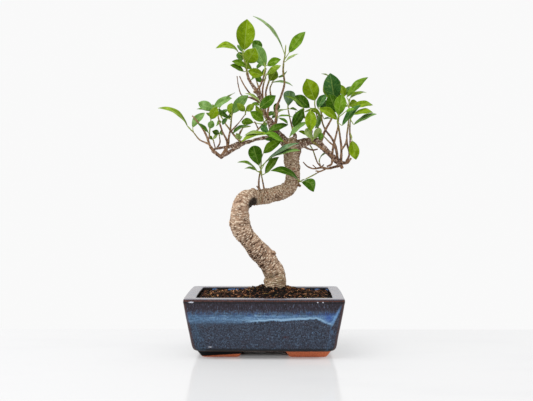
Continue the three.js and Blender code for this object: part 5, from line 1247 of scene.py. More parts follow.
def pot_surface():
    """The wall is one grid, round the pot and along its profile, with two sizes of noise laid
    on it as slow waves. Each half of the floor joins it by a grid that runs from the inner
    edge to a drain hole, down the hole and out to the wall's foot."""
    z, inset, radius = rounded(WALL).T
    rings, gaps = oblong(RIM_LENGTH / 2 - inset, RIM_DEPTH / 2 - inset, radius, z)
    rows, around = rings.shape[:2]
    inner = np.broadcast_to((np.arange(rows) > rows * INSIDE_SHARE)[:, None], gaps.shape)
    facing = unit(rings * (1, 1, 0))
    wave = noise(rings / 14, 5) * 0.25 + noise(rings / 5, 6) * 0.12
    wave[:1] = wave[-1:] = 0
    rings = rings + facing * wave[..., None] * np.where(inner, -1, 1)[..., None]
    pot = Surface("glaze")
    start = pot.add_points(rings, {"glaze": np.stack([gaps, inner, 0 * gaps], axis=-1)})
    pot.add_faces(grid(rows, around, start))
    back_middle = 2 * (CORNER_STEPS + 1) + SIDE_STEPS - 1 + SIDE_STEPS // 2 - 1
    front_middle = around - SIDE_STEPS // 2
    halves = [np.r_[front_middle:around, 0:back_middle + 1], np.arange(back_middle, front_middle + 1)]
    for half, sign in zip(halves, (1, -1)):
        loops = []
        for edge in (rings[-1][half], rings[0][half]):
            t = np.arange(1, FLOOR_STEPS)[:, None] / FLOOR_STEPS
            loops.append(np.concatenate([edge, edge[-1] + (edge[0] - edge[-1]) * t]))
        circles = []
        for loop in loops:
            turn = np.arctan2(loop[:, 1], loop[:, 0] - sign * HOLE_X)
            x = sign * HOLE_X + HOLE_RADIUS * np.cos(turn)
            circles.append(np.stack([x, HOLE_RADIUS * np.sin(turn), loop[:, 2]], axis=-1))
        sheet = np.stack([loops[0], circles[0], circles[1], loops[1]])
        glaze = np.zeros(sheet.shape)
        glaze[..., 0] = FLOOR_GAP
        glaze[0, :, 1] = 1
        start = pot.add_points(sheet, {"glaze": glaze})
        pot.add_faces(grid(*sheet.shape[:2], start))
    return pot


def merged(piece, distance=1e-6):
    """Joins points that lie on each other, as where two grids meet."""
    work = bmesh.new()
    work.from_mesh(piece.data)
    bmesh.ops.remove_doubles(work, verts=work.verts, dist=distance)
    work.to_mesh(piece.data)
    work.free()
    return piece


def feet_surface():
    """Four blocks that narrow evenly towards the ground, each a stack of round-cornered rings.
    The bottom edge is worn in by WORN*(1 - z/WORN) squared."""
    feet = Surface("glaze")
    z = np.array([0, 0.25, 0.7, WORN, 3, 5, 7, FOOT_HEIGHT, FOOT_HEIGHT + 2])
    t = np.minimum(z / FOOT_HEIGHT, 1)
    worn = WORN * np.clip(1 - z / WORN, 0, 1) ** 2
    sizes = zip(FOOT_GROUND, FOOT_TOP, (1, -1, 1, -1))
    inner, outer, back, front = (low + (high - low) * t + way * worn for low, high, way in sizes)
    rings, _ = oblong((outer - inner) / 2, (front - back) / 2, 2.2, z, 0.0, 5, 12)
    middle = np.stack([(outer + inner) / 2, (front + back) / 2, 0 * z], axis=-1)[:, None]
    for sx in (-1, 1):
        for sy in (-1, 1):
            foot = (rings + middle) * (sx, sy, 1)
            foot = foot + noise(foot / 3, 8)[..., None] * 0.12 * (1, 1, 0)
            if sx * sy < 0:
                foot = foot[:, ::-1]
            feet.tube(foot, glaze=(0, 0, 0))
    return feet


# ---- soil ----
SOIL_STEPS = 100
SOIL_RINGS = 96
CRUMBS = 1100
CHIPS = 330
FIBRES = 90


def soil_height(x, y):
    """A mound exp(-0.9*d*d) round the trunk, where d is the distance over its reach, with two
    products of sines for its lumps."""
    reach_x, reach_y = MOUND_REACH
    mound = MOUND_HEIGHT * np.exp(-0.9 * (((x - MOUND_X) / reach_x) ** 2 + (y / reach_y) ** 2))
    lumps = np.sin(x * 0.47 + y * 0.31) * np.sin(y * 0.53 - x * 0.22)
    lumps += 0.7 * np.sin(x * 0.9 + 1.3) * np.sin(y * 0.83 + 0.6)
    return SOIL_EDGE_Z + mound + 0.9 * lumps


def soil_top(x, y):
    """The mound with three sizes of round crumb on it, 5.5, 2.7 and 1.4 mm apart, and fine
    roughness. Also returns how high each point stands on its crumb and the crumb's tint."""
    big, tint = pebbles(x / 5.5, y / 5.5, seed=11)
    middle, tint2 = pebbles(x / 2.7 + 40, y / 2.7, seed=12)
    small, _ = pebbles(x / 1.4, y / 1.4 + 60, seed=13)
    flat = np.stack([x, y, 0 * x], axis=-1)
    rough = noise(flat / 1.1, 14)
    height = 2.4 * big + 1.9 * middle + 0.8 * small + 0.35 * rough - 1.5
    level = 0.5 * big + 0.6 * middle + 0.6 * small
    return soil_height(x, y) + height, level, 0.5 * tint + 0.5 * tint2


def soil_surface():
    """A block that fills the pot; its top is drawn in oblong rings that shrink to the mound's
    middle."""
    half_length = RIM_LENGTH / 2 - RIM_WIDTH - GAP
    half_depth = RIM_DEPTH / 2 - RIM_WIDTH - GAP

    def at(inset, radius, z):
        """Rings of the soil's outline, drawn in by that inset."""
        return oblong(half_length - inset, half_depth - inset, radius, z, side=SOIL_STEPS)[0]

    inset = np.array([8.4, 5.4, 2.9, 0.3, 0.1])
    side = at(inset, (8, 8, 7, 6, 5), (FLOOR_TOP + 1.9, 24, 35, 46, 61))
    edge = at(0.2, 5, 0)[0]
    k = (1 - np.arange(SOIL_RINGS) / SOIL_RINGS)[:, None, None]
    top = edge * k + np.array([MOUND_X, 0, 0]) * (1 - k)
    top[..., 2], level, tint = soil_top(top[..., 0], top[..., 1])
    soil = Surface("crumb")
    values = np.zeros((len(side) + len(top), top.shape[1], 3))
    values[: len(side), :, 0] = 0.5
    values[len(side):, :, 0] = level
    values[len(side):, :, 1] = tint
    soil.tube(np.concatenate([side, top]), crumb=values)
    return soil


def turned(rng, count, tilt):
    """Random turns, one 3 x 3 matrix each: any way about z, after a tip about x and one about
    y, drawn from normal spreads of that tilt."""
    angles = rng.uniform(0, 2 * np.pi, count), rng.normal(0, tilt, count), rng.normal(0, tilt, count)
    turns = []
    for axis, angle in zip((2, 0, 1), angles):
        turn = np.zeros((3, 3, count))
        turn[axis, axis] = 1
        i, j = (axis + 1) % 3, (axis + 2) % 3
        turn[i, i] = turn[j, j] = np.cos(angle)
        turn[j, i] = np.sin(angle)
        turn[i, j] = -turn[j, i]
        turns.append(turn)
    return np.einsum("ijn,jkn,kln->nil", *turns)


def scatter(rng, count):
    """Places on the soil inside the wall and clear of the trunk."""
    spots = rng.uniform([-half for half in STREWN], STREWN, (count * 2, 2))
    free = np.hypot(spots[:, 0] - TRUNK_FOOT_X, spots[:, 1]) > TRUNK_CLEAR
    spots = spots[free][:count]
    top, _, _ = soil_top(spots[:, 0], spots[:, 1])
    return np.column_stack([spots, top])


def twenty_sided():
    """The 12 corners and 20 faces of an icosahedron."""
    g = (1 + math.sqrt(5)) / 2
    corners = [(-1, g, 0), (1, g, 0), (-1, -g, 0), (1, -g, 0), (0, -1, g), (0, 1, g),
               (0, -1, -g), (0, 1, -g), (g, 0, -1), (g, 0, 1), (-g, 0, -1), (-g, 0, 1)]
    faces = [(0, 11, 5), (0, 5, 1), (0, 1, 7), (0, 7, 10), (0, 10, 11), (1, 5, 9), (5, 11, 4),
             (11, 10, 2), (10, 7, 6), (7, 1, 8), (3, 9, 4), (3, 4, 2), (3, 2, 6), (3, 6, 8),
             (3, 8, 9), (4, 9, 5), (2, 4, 11), (6, 2, 10), (8, 6, 7), (9, 8, 1)]
    return unit(np.array(corners, float)), np.array(faces)


def crumbs_surface():
    """Loose crumbs of peat: twenty-sided lumps with uneven corners."""
    rng = np.random.default_rng(21)
    shape, faces = twenty_sided()
    spots = scatter(rng, CRUMBS)
    size = rng.uniform(0.5, 1.7, len(spots)) * rng.uniform(0.7, 1.2, len(spots))
    uneven = shape * rng.uniform(0.7, 1.25, (len(spots), 12, 1))
    uneven = uneven * (size[:, None] * (1, 0.85, 0.7))[:, None]
    places = np.einsum("nij,nkj->nki", turned(rng, len(spots), 0.6), uneven) + spots[:, None]
    crumbs = Surface("crumb")
    values = np.zeros(places.shape)
    values[..., 0] = 0.75
    values[..., 1] = rng.uniform(0, 1, len(spots))[:, None]
    crumbs.copies(faces, places, crumb=values)
    return crumbs


def litter_surface():
    """Flat bark chips, which are uneven twenty-sided lumps, and four-sided fibres bent along
    bend*(1 - t*t), thinner towards their ends."""
    rng = np.random.default_rng(22)
    litter = Surface("tone")
    shape, faces = twenty_sided()
    spots = scatter(rng, CHIPS)
    uneven = shape * rng.uniform(0.65, 1.3, (len(spots), 12, 1))
    size = rng.uniform(0.4, 1.2, (len(spots), 1)) * (2.6, 1.5, 0.7)
    places = np.einsum("nij,nkj->nki", turned(rng, len(spots), 0.5), uneven * size[:, None])
    tone = grown("chip_dark", "chip_pale", rng.uniform(0, 1, (len(spots), 1)) ** 1.5)
    litter.copies(faces, places + spots[:, None], tone=tone[:, None])
    count, rows = FIBRES, 6
    spots = scatter(rng, count)
    t = np.linspace(-1, 1, rows)
    length = rng.uniform(1.8, 4.5, (count, 1))
    bend = rng.uniform(-1.2, 1.2, (count, 1))
    line = np.stack([length * t, bend * (1 - t * t), 0.5 * (1 - t * t) * np.ones((count, 1))], axis=-1)
    angle = np.arange(4) * np.pi / 2
    round_it = 0.22 * np.stack([0 * angle, np.cos(angle), np.sin(angle)], axis=-1)
    tubes = (line[:, :, None] + round_it * (1 - 0.6 * t * t)[:, None, None]).reshape(count, -1, 3)
    places = np.einsum("nij,nkj->nki", turned(rng, count, 0.2), tubes) + spots[:, None] + (0, 0, 0.5)
    caps = np.array([[3, 2, 1, 0], [rows * 4 - 4, rows * 4 - 3, rows * 4 - 2, rows * 4 - 1]])
    tone = grown("fibre_dark", "fibre_pale", rng.uniform(0, 1, (count, 1)))
    faces = np.concatenate([grid(rows, 4), caps])
    litter.copies(faces, places, tone=tone[:, None])
    return litter


# ---- wood ----
# Length of a limb's round end, as a share of its radius there.
END_LENGTH = 0.35
# Distances between pores round the limb and along it, between the places of old leaves on a
# young twig, and between its rings of points.
PORE_ROUND = 3.0
PORE_ALONG = 2.3
LEAF_PLACES = 9
TWIG_STEP = 0.9
# The share of a leafy twig's run at which it begins to turn green, and the share that takes.
GREEN_FROM = 0.651
GREEN_REACH = 0.35
# Half width, half length and depth of the dent at the crease.
DENT = (5, 11, 2.2)
# Height above which a healed cut is on the red-brown limbs, and their age.
LIMBS_FROM = 200
LIMB_AGE = 0.5


def limb_path(stations, step):
    """The middle line of a limb in steps of about that length, with a short round end: places,
    directions, radii and the run from its start. The radius is eased from one station to the
    next by t*t*(3 - 2*t)."""
    places = from_front([s[:3] for s in stations])
    radii = np.array([s[3] for s in stations]) / 2
    chords = np.linalg.norm(np.diff(places, axis=0), axis=1)
    counts = np.maximum(2, np.round(chords / step).astype(int))
    spans = len(chords)
    t = np.concatenate([np.arange(n) / n for n in counts] + [[1.0]])
    i = np.concatenate([np.full(n, k) for k, n in enumerate(counts)] + [[spans - 1]])
    runs = np.concatenate([[0], np.cumsum(chords)])
    centres, along = spline(places, (i + t) / spans)
    radius = radii[i] + (radii[i + 1] - radii[i]) * t * t * (3 - 2 * t)
    run = runs[i] + t * chords[i]
    end = radius[-1]
    out = end * END_LENGTH * np.array([0.3, 0.6, 0.85, 1.0])
    narrower = end * np.array([0.97, 0.88, 0.74, 0.5])
    return *lengthened(centres, along, radius, out, narrower), np.concatenate([run, run[-1] + out])


def crease_dent(skin, centres):
    """How deep the dent at the crease is at each point of the trunk's front: its depth times
    1 - d*d across it and along it."""
    beside, down = from_crease(skin[..., 0], skin[..., 2])
    half_width, half_length, depth = DENT
    dent = np.clip(1 - (beside / half_width) ** 2, 0, 1)
    dent = dent * np.clip(1 - (down / half_length) ** 2, 0, 1)
    return depth * dent * (skin[..., 1] < centres[:, None, 1])


def limb(surface, stations, sides, step, lumps, wrinkle, knots, age, seed, green=0):
    """A round limb along its path. Its radius is multiplied by 1 + lumps*(sines of the angle
    and of the run). On that stand wrinkles, noise stretched round the limb, knots, and raised
    oval pores in rows. age is 1 for young wood, which has a ridge at each old leaf's place
    instead and a green end. The oldest wood has the dent at the crease."""
    twig = int(age == 1)
    centres, along, radius, run = limb_path(stations, step)
    across, other = carried(along)
    a = (2 * np.pi * np.arange(sides) / sides)[None]
    phase = (run / 6)[:, None]
    oval, three = np.sin(2 * a + phase * 0.9), np.sin(3 * a - phase * 1.7)
    base = radius[:, None] * (1 + lumps * (oval * 0.5 + three * 0.35 + np.sin(phase * 2.6) * 0.4))
    round_x, round_y = base * np.cos(a), base * np.sin(a)
    span = run[:, None] + 0 * a

    def grain(length, width, number, shift=0):
        """Noise with cells of that length along the limb and that width across it."""
        cells = [(span + shift) / length, round_x / width, round_y / width]
        return noise(np.stack(cells, axis=-1), seed + number)

    warp = grain(7, 7, 0) * 2.4
    fold, fine = grain(1.05, 3.4, 1, warp), grain(0.55, 1.6, 2, warp)
    broad, gnarl = grain(9, 6, 3), grain(4.5, 3.5, 9)
    wrap = max(6, round(2 * math.pi * float(radius.max()) / PORE_ROUND))
    round_it = a / (2 * np.pi) * wrap + 0 * span
    pore, _ = pebbles(round_it, span / PORE_ALONG, wrap, seed + 4, keep=0.55, flat=1.9)
    pore = np.minimum(pore * 2.2, 1) * (1 - twig)
    from_place = (run[:, None] + 1.5 * np.cos(a) + seed) % LEAF_PLACES - LEAF_PLACES / 2
    node = np.clip(1 - np.abs(from_place) / 0.9, 0, 1) * twig
    height = 0.75 * fold + 0.35 * fine
    relief = wrinkle * (0.38 * fold + 0.16 * fine + 0.45 * broad + 0.3 * pore) + knots * gnarl
    relief = relief + 0.22 * node * base
    if age == 0:
        relief = relief - crease_dent(ring(centres, across, other, base, sides), centres)
    tip = green * np.clip((run / run[-1] - GREEN_FROM) / GREEN_REACH, 0, 1)[:, None]
    bark = np.stack([height + 0.3 * pore + node * 0.4, pore + tip, age + 0 * pore], axis=-1)
    surface.tube(ring(centres, across, other, base + relief, sides), bark=bark)


def nub(surface, x, z, y, radius, seed):
    """A healed cut: a ball drawn in rings from pole to pole, its radius multiplied by 1 plus
    two sizes of noise."""
    middle = from_front((x, z, y))
    polar = np.linspace(0.06, np.pi - 0.06, 22)[:, None]
    a = 2 * np.pi * np.arange(30)[None] / 30
    ball = [np.sin(polar) * np.cos(a), np.sin(polar) * np.sin(a), -np.cos(polar) + 0 * a]
    ball = np.stack(ball, axis=-1)
    rough = noise(ball * radius / 1.6, seed) * 0.09 + noise(ball * 2, seed + 1) * 0.06
    height = noise(ball * radius / 1.2, seed + 2)
    age = LIMB_AGE if z > LIMBS_FROM else 0
    bark = np.stack([height, 0 * height, age + 0 * height], axis=-1)
    surface.tube(middle + ball * (radius * (1 + rough))[..., None], bark=bark)


# ---- leaves ----
# A leaf's own width is a share of its length up to a limit, or what shows of it if that is more.
LEAF_SHARE = 0.52
LEAF_WIDTH = 15
EDGE_RISE = 0.16
EDGE_WAVE = 0.05
# The share of a blade after which it curls back, and how far its tip does, over its length.
CURL_FROM = 0.6
TIP_CURL = 0.03
LEAF_HALF_THICKNESS = 0.24
LEAF_ROWS = LEAF_AROUND = 24
STALK_ROWS = 26
STALK_SIDES = 8
STALK_RADIUS = 0.62
# The share of the stalk's run at which its free part has thinned and the midrib begins.
STALK_FREE = 0.4
STEM_SIDES = 12
STEM_END = 0.7
BUD_LENGTH = 2.6
BUD_ROWS = 7
BUD_TIP = 0.12


def outline(t, round_end):
    """Half width along a blade as a share of its widest, a power of t times one of 1 - t: a
    wedge foot and a drawn-out point, or a blade that is widest near its round end."""
    if round_end:
        return 2.857 * t ** 1.1 * (1 - t) ** 0.55
    return 2.863 * t ** 0.8 * (1 - t) ** 0.72 * (1 - 0.5 * t ** 8)


def leaf(surface, root, foot, tip, seen, arch, tone, seed, turn=1, bend=0, round_end=False):
    """One leaf. Its blade lies along foot to tip and is turned about that line, to the side
    that turn says, until it shows the width seen from the front. Its middle is lifted by
    arch*4*t*(1 - t) and moved aside by bend*4*t*(1 - t), and its tip curls back by a square.
    Its edges rise by EDGE_RISE of the half width and wave a little, and its section is a thin
    lens. Its stalk runs from root to foot and on under the blade as its midrib."""
    chord = tip - foot
    length = float(np.linalg.norm(chord))
    along = chord / length
    facing = unit(EYE - (foot + tip) / 2)
    facing = unit(facing - along * facing.dot(along))
    sideways = unit(np.cross(facing, along))
    lean = sideways[2] if abs(sideways[2]) > 0.35 else sideways[0]
    sideways = sideways if lean >= 0 else -sideways
    width = max(min(LEAF_SHARE * length, LEAF_WIDTH), seen)
    roll = turn * math.acos(min(1, seen / width))
    normal = facing * math.cos(roll) + sideways * math.sin(roll)
    side = unit(np.cross(normal, along))

    def middle(t):
        """The place on the blade's middle line at that share of its length."""
        hump = 4 * t * (1 - t)
        curl = TIP_CURL * length * np.maximum(t - CURL_FROM, 0) ** 2 / (1 - CURL_FROM) ** 2
        return foot + along * t * length + normal * (arch * hump - curl) + side * bend * hump

    t = (0.5 - 0.5 * np.cos(np.linspace(0.11, np.pi - 0.06, LEAF_ROWS)))[:, None]
    slope = arch * 4 * (1 - 2 * t) / length
    up = unit(normal - along * slope)
    half = np.maximum(outline(t, round_end) * width / 2, 0.12)
    theta = (2 * np.pi * np.arange(LEAF_AROUND) / LEAF_AROUND)[None]
    u = np.cos(theta)
    wave = np.sin(2 * np.pi * 2.1 * t + seed * 1.7 + 1.9 * np.sign(u)) * EDGE_WAVE * u * u
    lift = half * (EDGE_RISE * np.abs(u) ** 1.25 + wave) + LEAF_HALF_THICKNESS * np.sin(theta)
    rings = middle(t)[:, None] + side * (half * u)[..., None] + up[:, None] * lift[..., None]
    blade = np.stack(np.broadcast_arrays(u, t, np.sin(theta) < -0.05), axis=-1)
    surface.tube(rings, tone=tone, blade=blade)
    midrib = [middle(k) - normal * 0.12 for k in (0.2, 0.45, 0.8)]
    path = [root, root * 0.45 + foot * 0.55 - np.array([0, 0, 0.25]), foot, *midrib]
    stalk(surface, path, normal, side, tone)


def stalk(surface, path, normal, side, tone):
    """A leaf's stalk and midrib, round, along a spline through the path. Its radius falls
    evenly to the blade's foot and on to the midrib's end, and is thicker at the stem."""
    share = np.linspace(0, 1, STALK_ROWS)
    centres, heading = spline(path, share)
    across, other = carried(heading, normal if abs(heading[0].dot(normal)) < 0.9 else side)
    rib = np.clip((share - STALK_FREE) / (1 - STALK_FREE), 0, 1)
    radius = STALK_RADIUS - 0.14 * np.minimum(share / STALK_FREE, 1) - 0.38 * rib
    radius = radius + 0.25 * np.maximum(0.12 - share, 0) / 0.12
    tone = shade("stalk") * 0.7 + tone * 0.3
    surface.tube(ring(centres, across, other, radius, STALK_SIDES), tone=tone, blade=OFF_BLADE)


def stem(surface, points, start, end=STEM_END):
    """A shoot's stem, round, thinning evenly from start to end, with a small ring at every
    tenth row and a pointed bud. It turns from brown to green on its way. Returns its curve
    as a function of the share."""
    rows = 10 * len(points)
    share = np.linspace(0, 1, rows)
    centres, along = spline(points, share)
    radius = start + (end - start) * share
    tip = np.linspace(0.12, 1, BUD_ROWS)
    pointed = end + (BUD_TIP - end) * tip ** 1.3
    centres, along, radius = lengthened(centres, along, radius, BUD_LENGTH * tip, pointed)
    run = np.arange(len(centres))
    radius = radius * (1 + 0.12 * np.clip(1 - np.abs(run % 10 - 5) / 1.5, 0, 1))
    across, other = carried(along)
    green = np.concatenate([share, np.ones(BUD_ROWS)])[:, None, None]
    tone = grown("stem_foot", "stem_top", green)
    surface.tube(ring(centres, across, other, radius, STEM_SIDES), tone=tone, blade=OFF_BLADE)
    return lambda at: spline(points, [at])[0][0]


def twig_end(name):
    """Where a twig's green shoot starts, just past its rounded end: place, direction, radius."""
    stations = TWIGS[name]
    places = from_front([s[:3] for s in stations])
    _, along = spline(places, [1.0])
    radius = stations[-1][3] / 2
    return places[-1] + along[0] * (radius * END_LENGTH + GAP), along[0], radius


def shoot_surface(twig, stem_points, leaves, seed):
    """The stem goes on from its twig; each leaf starts at its share of the stem's curve."""
    place, along, radius = twig_end(twig)
    points = np.concatenate([[place, place + along], from_front(stem_points)])
    shoot = Surface("tone", "blade")
    curve = stem(shoot, points, max(0.8, 0.9 * radius))
    for i, (share, foot, tip, seen, arch, tone, *extras) in enumerate(leaves):
        ends = from_front(foot), from_front(tip)
        colour = linear(TONES[tone])
        leaf(shoot, curve(share), *ends, seen, arch, colour, seed + i, **dict(*extras))
    return shoot


def back_shoot_surface(twig, count, longest, seed):
    """Leaves set round a straight stem, each turned from the last by the golden angle and
    leaning more towards the stem's own direction the higher it stands."""
    place, along, radius = twig_end(twig)
    rise = unit(along + np.array([0, 0, 0.2]))
    points = place + rise * np.array([0, 8, 16, 22])[:, None]
    shoot = Surface("tone", "blade")
    curve = stem(shoot, points, max(0.8, 0.9 * radius))
    across = unit(np.array([0, 0, 1]) - rise * rise[2])
    other = np.cross(rise, across)
    for i in range(count):
        share = 0.12 + 0.86 * i / (count - 1)
        angle = GOLDEN_ANGLE * i + 0.6
        out = across * math.cos(angle) + other * math.sin(angle)
        direction = unit(out + rise * (0.55 + 0.5 * share))
        length = longest * (0.72 + 0.28 * math.sin(math.pi * share))
        root = curve(share)
        foot = root + 6 * direction
        tip = foot + length * direction
        tone = linear(TONES[("deep", "full", "young")[i % 3]])
        leaf(shoot, root, foot, tip, length * 0.36, 1.2, tone, seed + i, turn=1 if i % 2 else -1)
    return shoot


# ---- what a user can change ----
COLOUR = {"subtype": "COLOR_GAMMA", "min": 0, "max": 1}


class PotLook(bpy.types.PropertyGroup):
    """Colours of the glaze"""
    slate: bpy.props.FloatVectorProperty(
        name="Slate", description="Colour of the wall below the band",
        default=(0.25, 0.29, 0.36), **COLOUR)
    plum: bpy.props.FloatVectorProperty(
        name="Plum", description="Colour of the wall above the band",
        default=(0.23, 0.20, 0.25), **COLOUR)
    band: bpy.props.FloatVectorProperty(
        name="Band", description="Light blue of the band",
        default=(0.42, 0.57, 0.72), **COLOUR)
    rust: bpy.props.FloatVectorProperty(
        name="Rust", description="Colour of the line where the glaze thins under the lip",
        default=(0.38, 0.20, 0.14), **COLOUR)
    lip: bpy.props.FloatVectorProperty(
        name="Lip", description="Grey of the lip",
        default=(0.44, 0.42, 0.45), **COLOUR)


class SoilLook(bpy.types.PropertyGroup):
    """Colour of the soil"""
    peat: bpy.props.FloatVectorProperty(
        name="Peat", description="Colour of the soil",
        default=(0.15, 0.09, 0.06), **COLOUR)


class WoodLook(bpy.types.PropertyGroup):
    """Colours of the bark, and how finely it is drawn"""
    bark: bpy.props.FloatVectorProperty(
        name="Bark", description="Colour of the old bark",
        default=(0.74, 0.62, 0.53), **COLOUR)
    limb: bpy.props.FloatVectorProperty(
        name="Limb", description="Colour of the limbs' bark",
        default=(0.45, 0.33, 0.26), **COLOUR)
    twig: bpy.props.FloatVectorProperty(
        name="Twig", description="Colour of the young twigs",
        default=(0.58, 0.45, 0.33), **COLOUR)
    step: bpy.props.FloatProperty(
        name="Step", description="Distance between the rings of points along the trunk, in mm",
        default=0.45, min=0.3, max=5)


class LeafLook(bpy.types.PropertyGroup):
    """Colours of the leaves"""
    vein: bpy.props.FloatVectorProperty(
        name="Vein", description="Colour of the midribs",
        default=(0.70, 0.78, 0.42), **COLOUR)
    depth: bpy.props.FloatVectorProperty(
        name="Depth", description="What the deeper parts of a blade are multiplied by",
        default=(0.34, 0.42, 0.16), min=0, max=1)


class StageLook(bpy.types.PropertyGroup):
    """Camera, lamp and floor"""
    lens: bpy.props.FloatProperty(
        name="Lens", description="Focal length of the camera, in millimetres",
        default=60.18, min=10, max=300)
    key: bpy.props.FloatProperty(
        name="Key light", description="Power of the large soft lamp", default=20, min=0, unit="POWER")
    floor: bpy.props.FloatVectorProperty(
        name="Floor", description="Colour of the floor",
        default=(0.855, 0.855, 0.86), **COLOUR)


# ---- steps ----
# The stage, in metres, and the width of the camera's sensor in millimetres.
FLOOR_REACH = 4.0
ROOM_LIGHT = 0.95
LAMP_SIZE = 1.6
LAMP_PLACE = (-0.8, -0.7, 1.7)
LAMP_AIM = (0, 0, 0.18)
SENSOR_WIDTH = 36


class BONSAI_OT_pot(bpy.types.Operator):
    """Build the glazed pot, its clay feet and the nets over its drain holes"""
    bl_idname = "bonsai.pot"
    bl_label = "Build Pot"

    def execute(self, context):
        look = context.scene.bonsai_pot
        merged(pot_surface().build("pot_wall", glaze_finish(look), ["pot"], "glaze"))
        feet_surface().build("pot_feet", clay_finish(), ["pot"], "glaze")
        net = net_finish()
        for node in ("drain_screen_left", "drain_screen_right"):
            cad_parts[node].material_slots[0].material = net
        return {"FINISHED"}


class BONSAI_OT_soil(bpy.types.Operator):
    """Fill the pot with peat and strew crumbs, bark chips and fibres on it"""
    bl_idname = "bonsai.soil"
    bl_label = "Fill Soil"

    def execute(self, context):
        peat = soil_finish(context.scene.bonsai_soil)
        soil_surface().build("soil_top", peat, ["soil"], "soil")
        crumbs_surface().build("soil_crumbs", peat, ["soil"], "soil")
        litter_surface().build("soil_litter", litter_finish(), ["soil"], "soil")
        return {"FINISHED"}


class BONSAI_OT_wood(bpy.types.Operator):
    """Grow the trunk, limbs and twigs with their bark"""
    bl_idname = "bonsai.wood"
    bl_label = "Grow Wood"

    def execute(self, context):
        look = context.scene.bonsai_wood
        bark = bark_finish(look)
        trunk, limbs, twigs = Surface("bark"), Surface("bark"), Surface("bark")
        limb(trunk, TRUNK, sides=132, step=look.step, lumps=0.05, wrinkle=1.2, knots=0.3, age=0, seed=31)
        for i, stations in enumerate(LIMBS):
            limb(limbs, stations, sides=64, step=look.step * 1.2, lumps=0.05, wrinkle=0.75,
                 knots=0.45, age=LIMB_AGE, seed=41 + 7 * i)
        for i, (x, z, y, radius) in enumerate(NUBS):
            nub(limbs, x, z, y, radius, 91 + 5 * i)
        leafy = {*SHOOTS, *BACK_SHOOTS}
        for i, (name, stations) in enumerate(TWIGS.items()):
            limb(twigs, stations, sides=14, step=TWIG_STEP, lumps=0, wrinkle=0.22,
                 knots=0.1, age=1, seed=201 + 7 * i, green=int(f"shoot_{name}" in leafy))
        for surface, name in ((trunk, "trunk_bark"), (limbs, "limb_bark"), (twigs, "twigs")):
            surface.build(name, bark, ["trunk"], "bark")
        return {"FINISHED"}


class BONSAI_OT_leaves(bpy.types.Operator):
    """Put the green shoots with their leaves on the twigs"""
    bl_idname = "bonsai.leaves"
    bl_label = "Put on Leaves"

    def execute(self, context):
        look = context.scene.bonsai_leaves
        finish = {slot: leaf_finish(slot, look) for slot in ("leaf", "leaf_dark", "leaf_pale")}
        for i, (node, (slot, points, leaves)) in enumerate(SHOOTS.items()):
            twig = node.removeprefix("shoot_")
            shoot = shoot_surface(twig, points, leaves, 13 * i)
            shoot.build(f"leaves_{twig}", finish[slot], [node], slot)
        for i, (node, (slot, count, longest)) in enumerate(BACK_SHOOTS.items()):
            twig = node.removeprefix("shoot_")
            shoot = back_shoot_surface(twig, count, longest, 7 * i)
            shoot.build(f"leaves_{twig}", finish[slot], [node], slot)
        return {"FINISHED"}


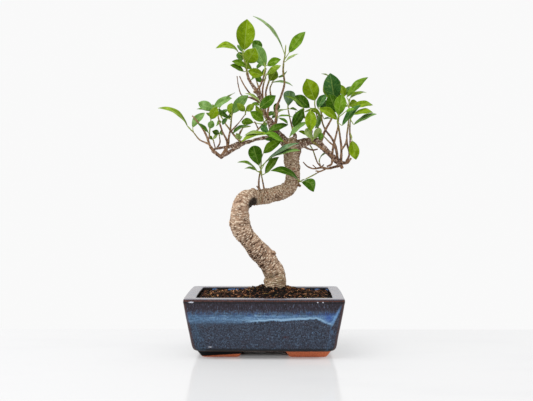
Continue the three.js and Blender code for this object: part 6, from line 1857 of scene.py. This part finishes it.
class BONSAI_OT_stage(bpy.types.Operator):
    """Set the pale floor, the soft lights and the camera"""
    bl_idname = "bonsai.stage"
    bl_label = "Set Stage"

    def execute(self, context):
        scene = context.scene
        look = scene.bonsai_stage
        mesh = bpy.data.meshes.new("floor")
        corners = [(x * FLOOR_REACH, y * FLOOR_REACH, 0) for x, y in ((-1, -1), (1, -1), (1, 1), (-1, 1))]
        mesh.from_pydata(corners, [], [(0, 1, 2, 3)])
        mesh.materials.append(floor_finish(look))
        floor = bpy.data.objects.new("floor", mesh)
        scene.collection.objects.link(floor)

        world = bpy.data.worlds.new("white_room")
        world.use_nodes = True
        background = world.node_tree.nodes["Background"].inputs
        background["Color"].default_value = (1, 1, 1, 1)
        background["Strength"].default_value = ROOM_LIGHT
        scene.world = world
        lamp = bpy.data.lights.new("key", "AREA")
        lamp.shape = "DISK"
        lamp.size = LAMP_SIZE
        lamp.energy = look.key
        key = bpy.data.objects.new("key", lamp)
        key.location = LAMP_PLACE
        aim = Vector(LAMP_AIM) - Vector(LAMP_PLACE)
        key.rotation_euler = aim.to_track_quat("-Z", "Y").to_euler()
        scene.collection.objects.link(key)

        camera = bpy.data.cameras.new("photo_camera")
        camera.lens = look.lens
        camera.sensor_width = SENSOR_WIDTH
        eye = bpy.data.objects.new("photo_camera", camera)
        eye.location = (EYE + POT_FOOT) / 1000
        eye.rotation_euler = (math.radians(90 - EYE_TILT), 0, math.radians(EYE_TURN))
        scene.collection.objects.link(eye)
        scene.camera = eye
        scene.view_settings.view_transform = "Standard"
        return {"FINISHED"}


class BONSAI_PT_panel(bpy.types.Panel):
    """Lists the steps, each with its settings"""
    bl_idname = "BONSAI_PT_panel"
    bl_label = "Bonsai"
    bl_space_type = "VIEW_3D"
    bl_region_type = "UI"
    bl_category = "Bonsai"

    def draw(self, context):
        for step, group in STEPS:
            box = self.layout.box()
            box.operator(step.bl_idname)
            settings = getattr(context.scene, group)
            for key in settings.bl_rna.properties.keys():
                if key not in ("rna_type", "name"):
                    box.prop(settings, key)


GROUPS = {
    "bonsai_pot": PotLook, "bonsai_soil": SoilLook, "bonsai_wood": WoodLook,
    "bonsai_leaves": LeafLook, "bonsai_stage": StageLook,
}
STEPS = (
    (BONSAI_OT_pot, "bonsai_pot"), (BONSAI_OT_soil, "bonsai_soil"), (BONSAI_OT_wood, "bonsai_wood"),
    (BONSAI_OT_leaves, "bonsai_leaves"), (BONSAI_OT_stage, "bonsai_stage"),
)


def register():
    """Adds the settings to the scene type, then the steps and the panel."""
    for name, group in GROUPS.items():
        bpy.utils.register_class(group)
        setattr(bpy.types.Scene, name, bpy.props.PointerProperty(type=group))
    for step, _ in STEPS:
        bpy.utils.register_class(step)
    bpy.utils.register_class(BONSAI_PT_panel)


def unregister():
    """Takes the panel, the steps and the settings off again."""
    bpy.utils.unregister_class(BONSAI_PT_panel)
    for step, _ in reversed(STEPS):
        bpy.utils.unregister_class(step)
    for name, group in GROUPS.items():
        delattr(bpy.types.Scene, name)
        bpy.utils.unregister_class(group)


def main():
    """Registers the classes and runs the steps in order."""
    register()
    for step, _ in STEPS:
        group, name = step.bl_idname.split(".")
        if getattr(getattr(bpy.ops, group), name)() != {"FINISHED"}:
            raise RuntimeError(f"{step.bl_label} didn't finish")
    bpy.context.view_layer.update()


if __name__ == "__main__":
    main()
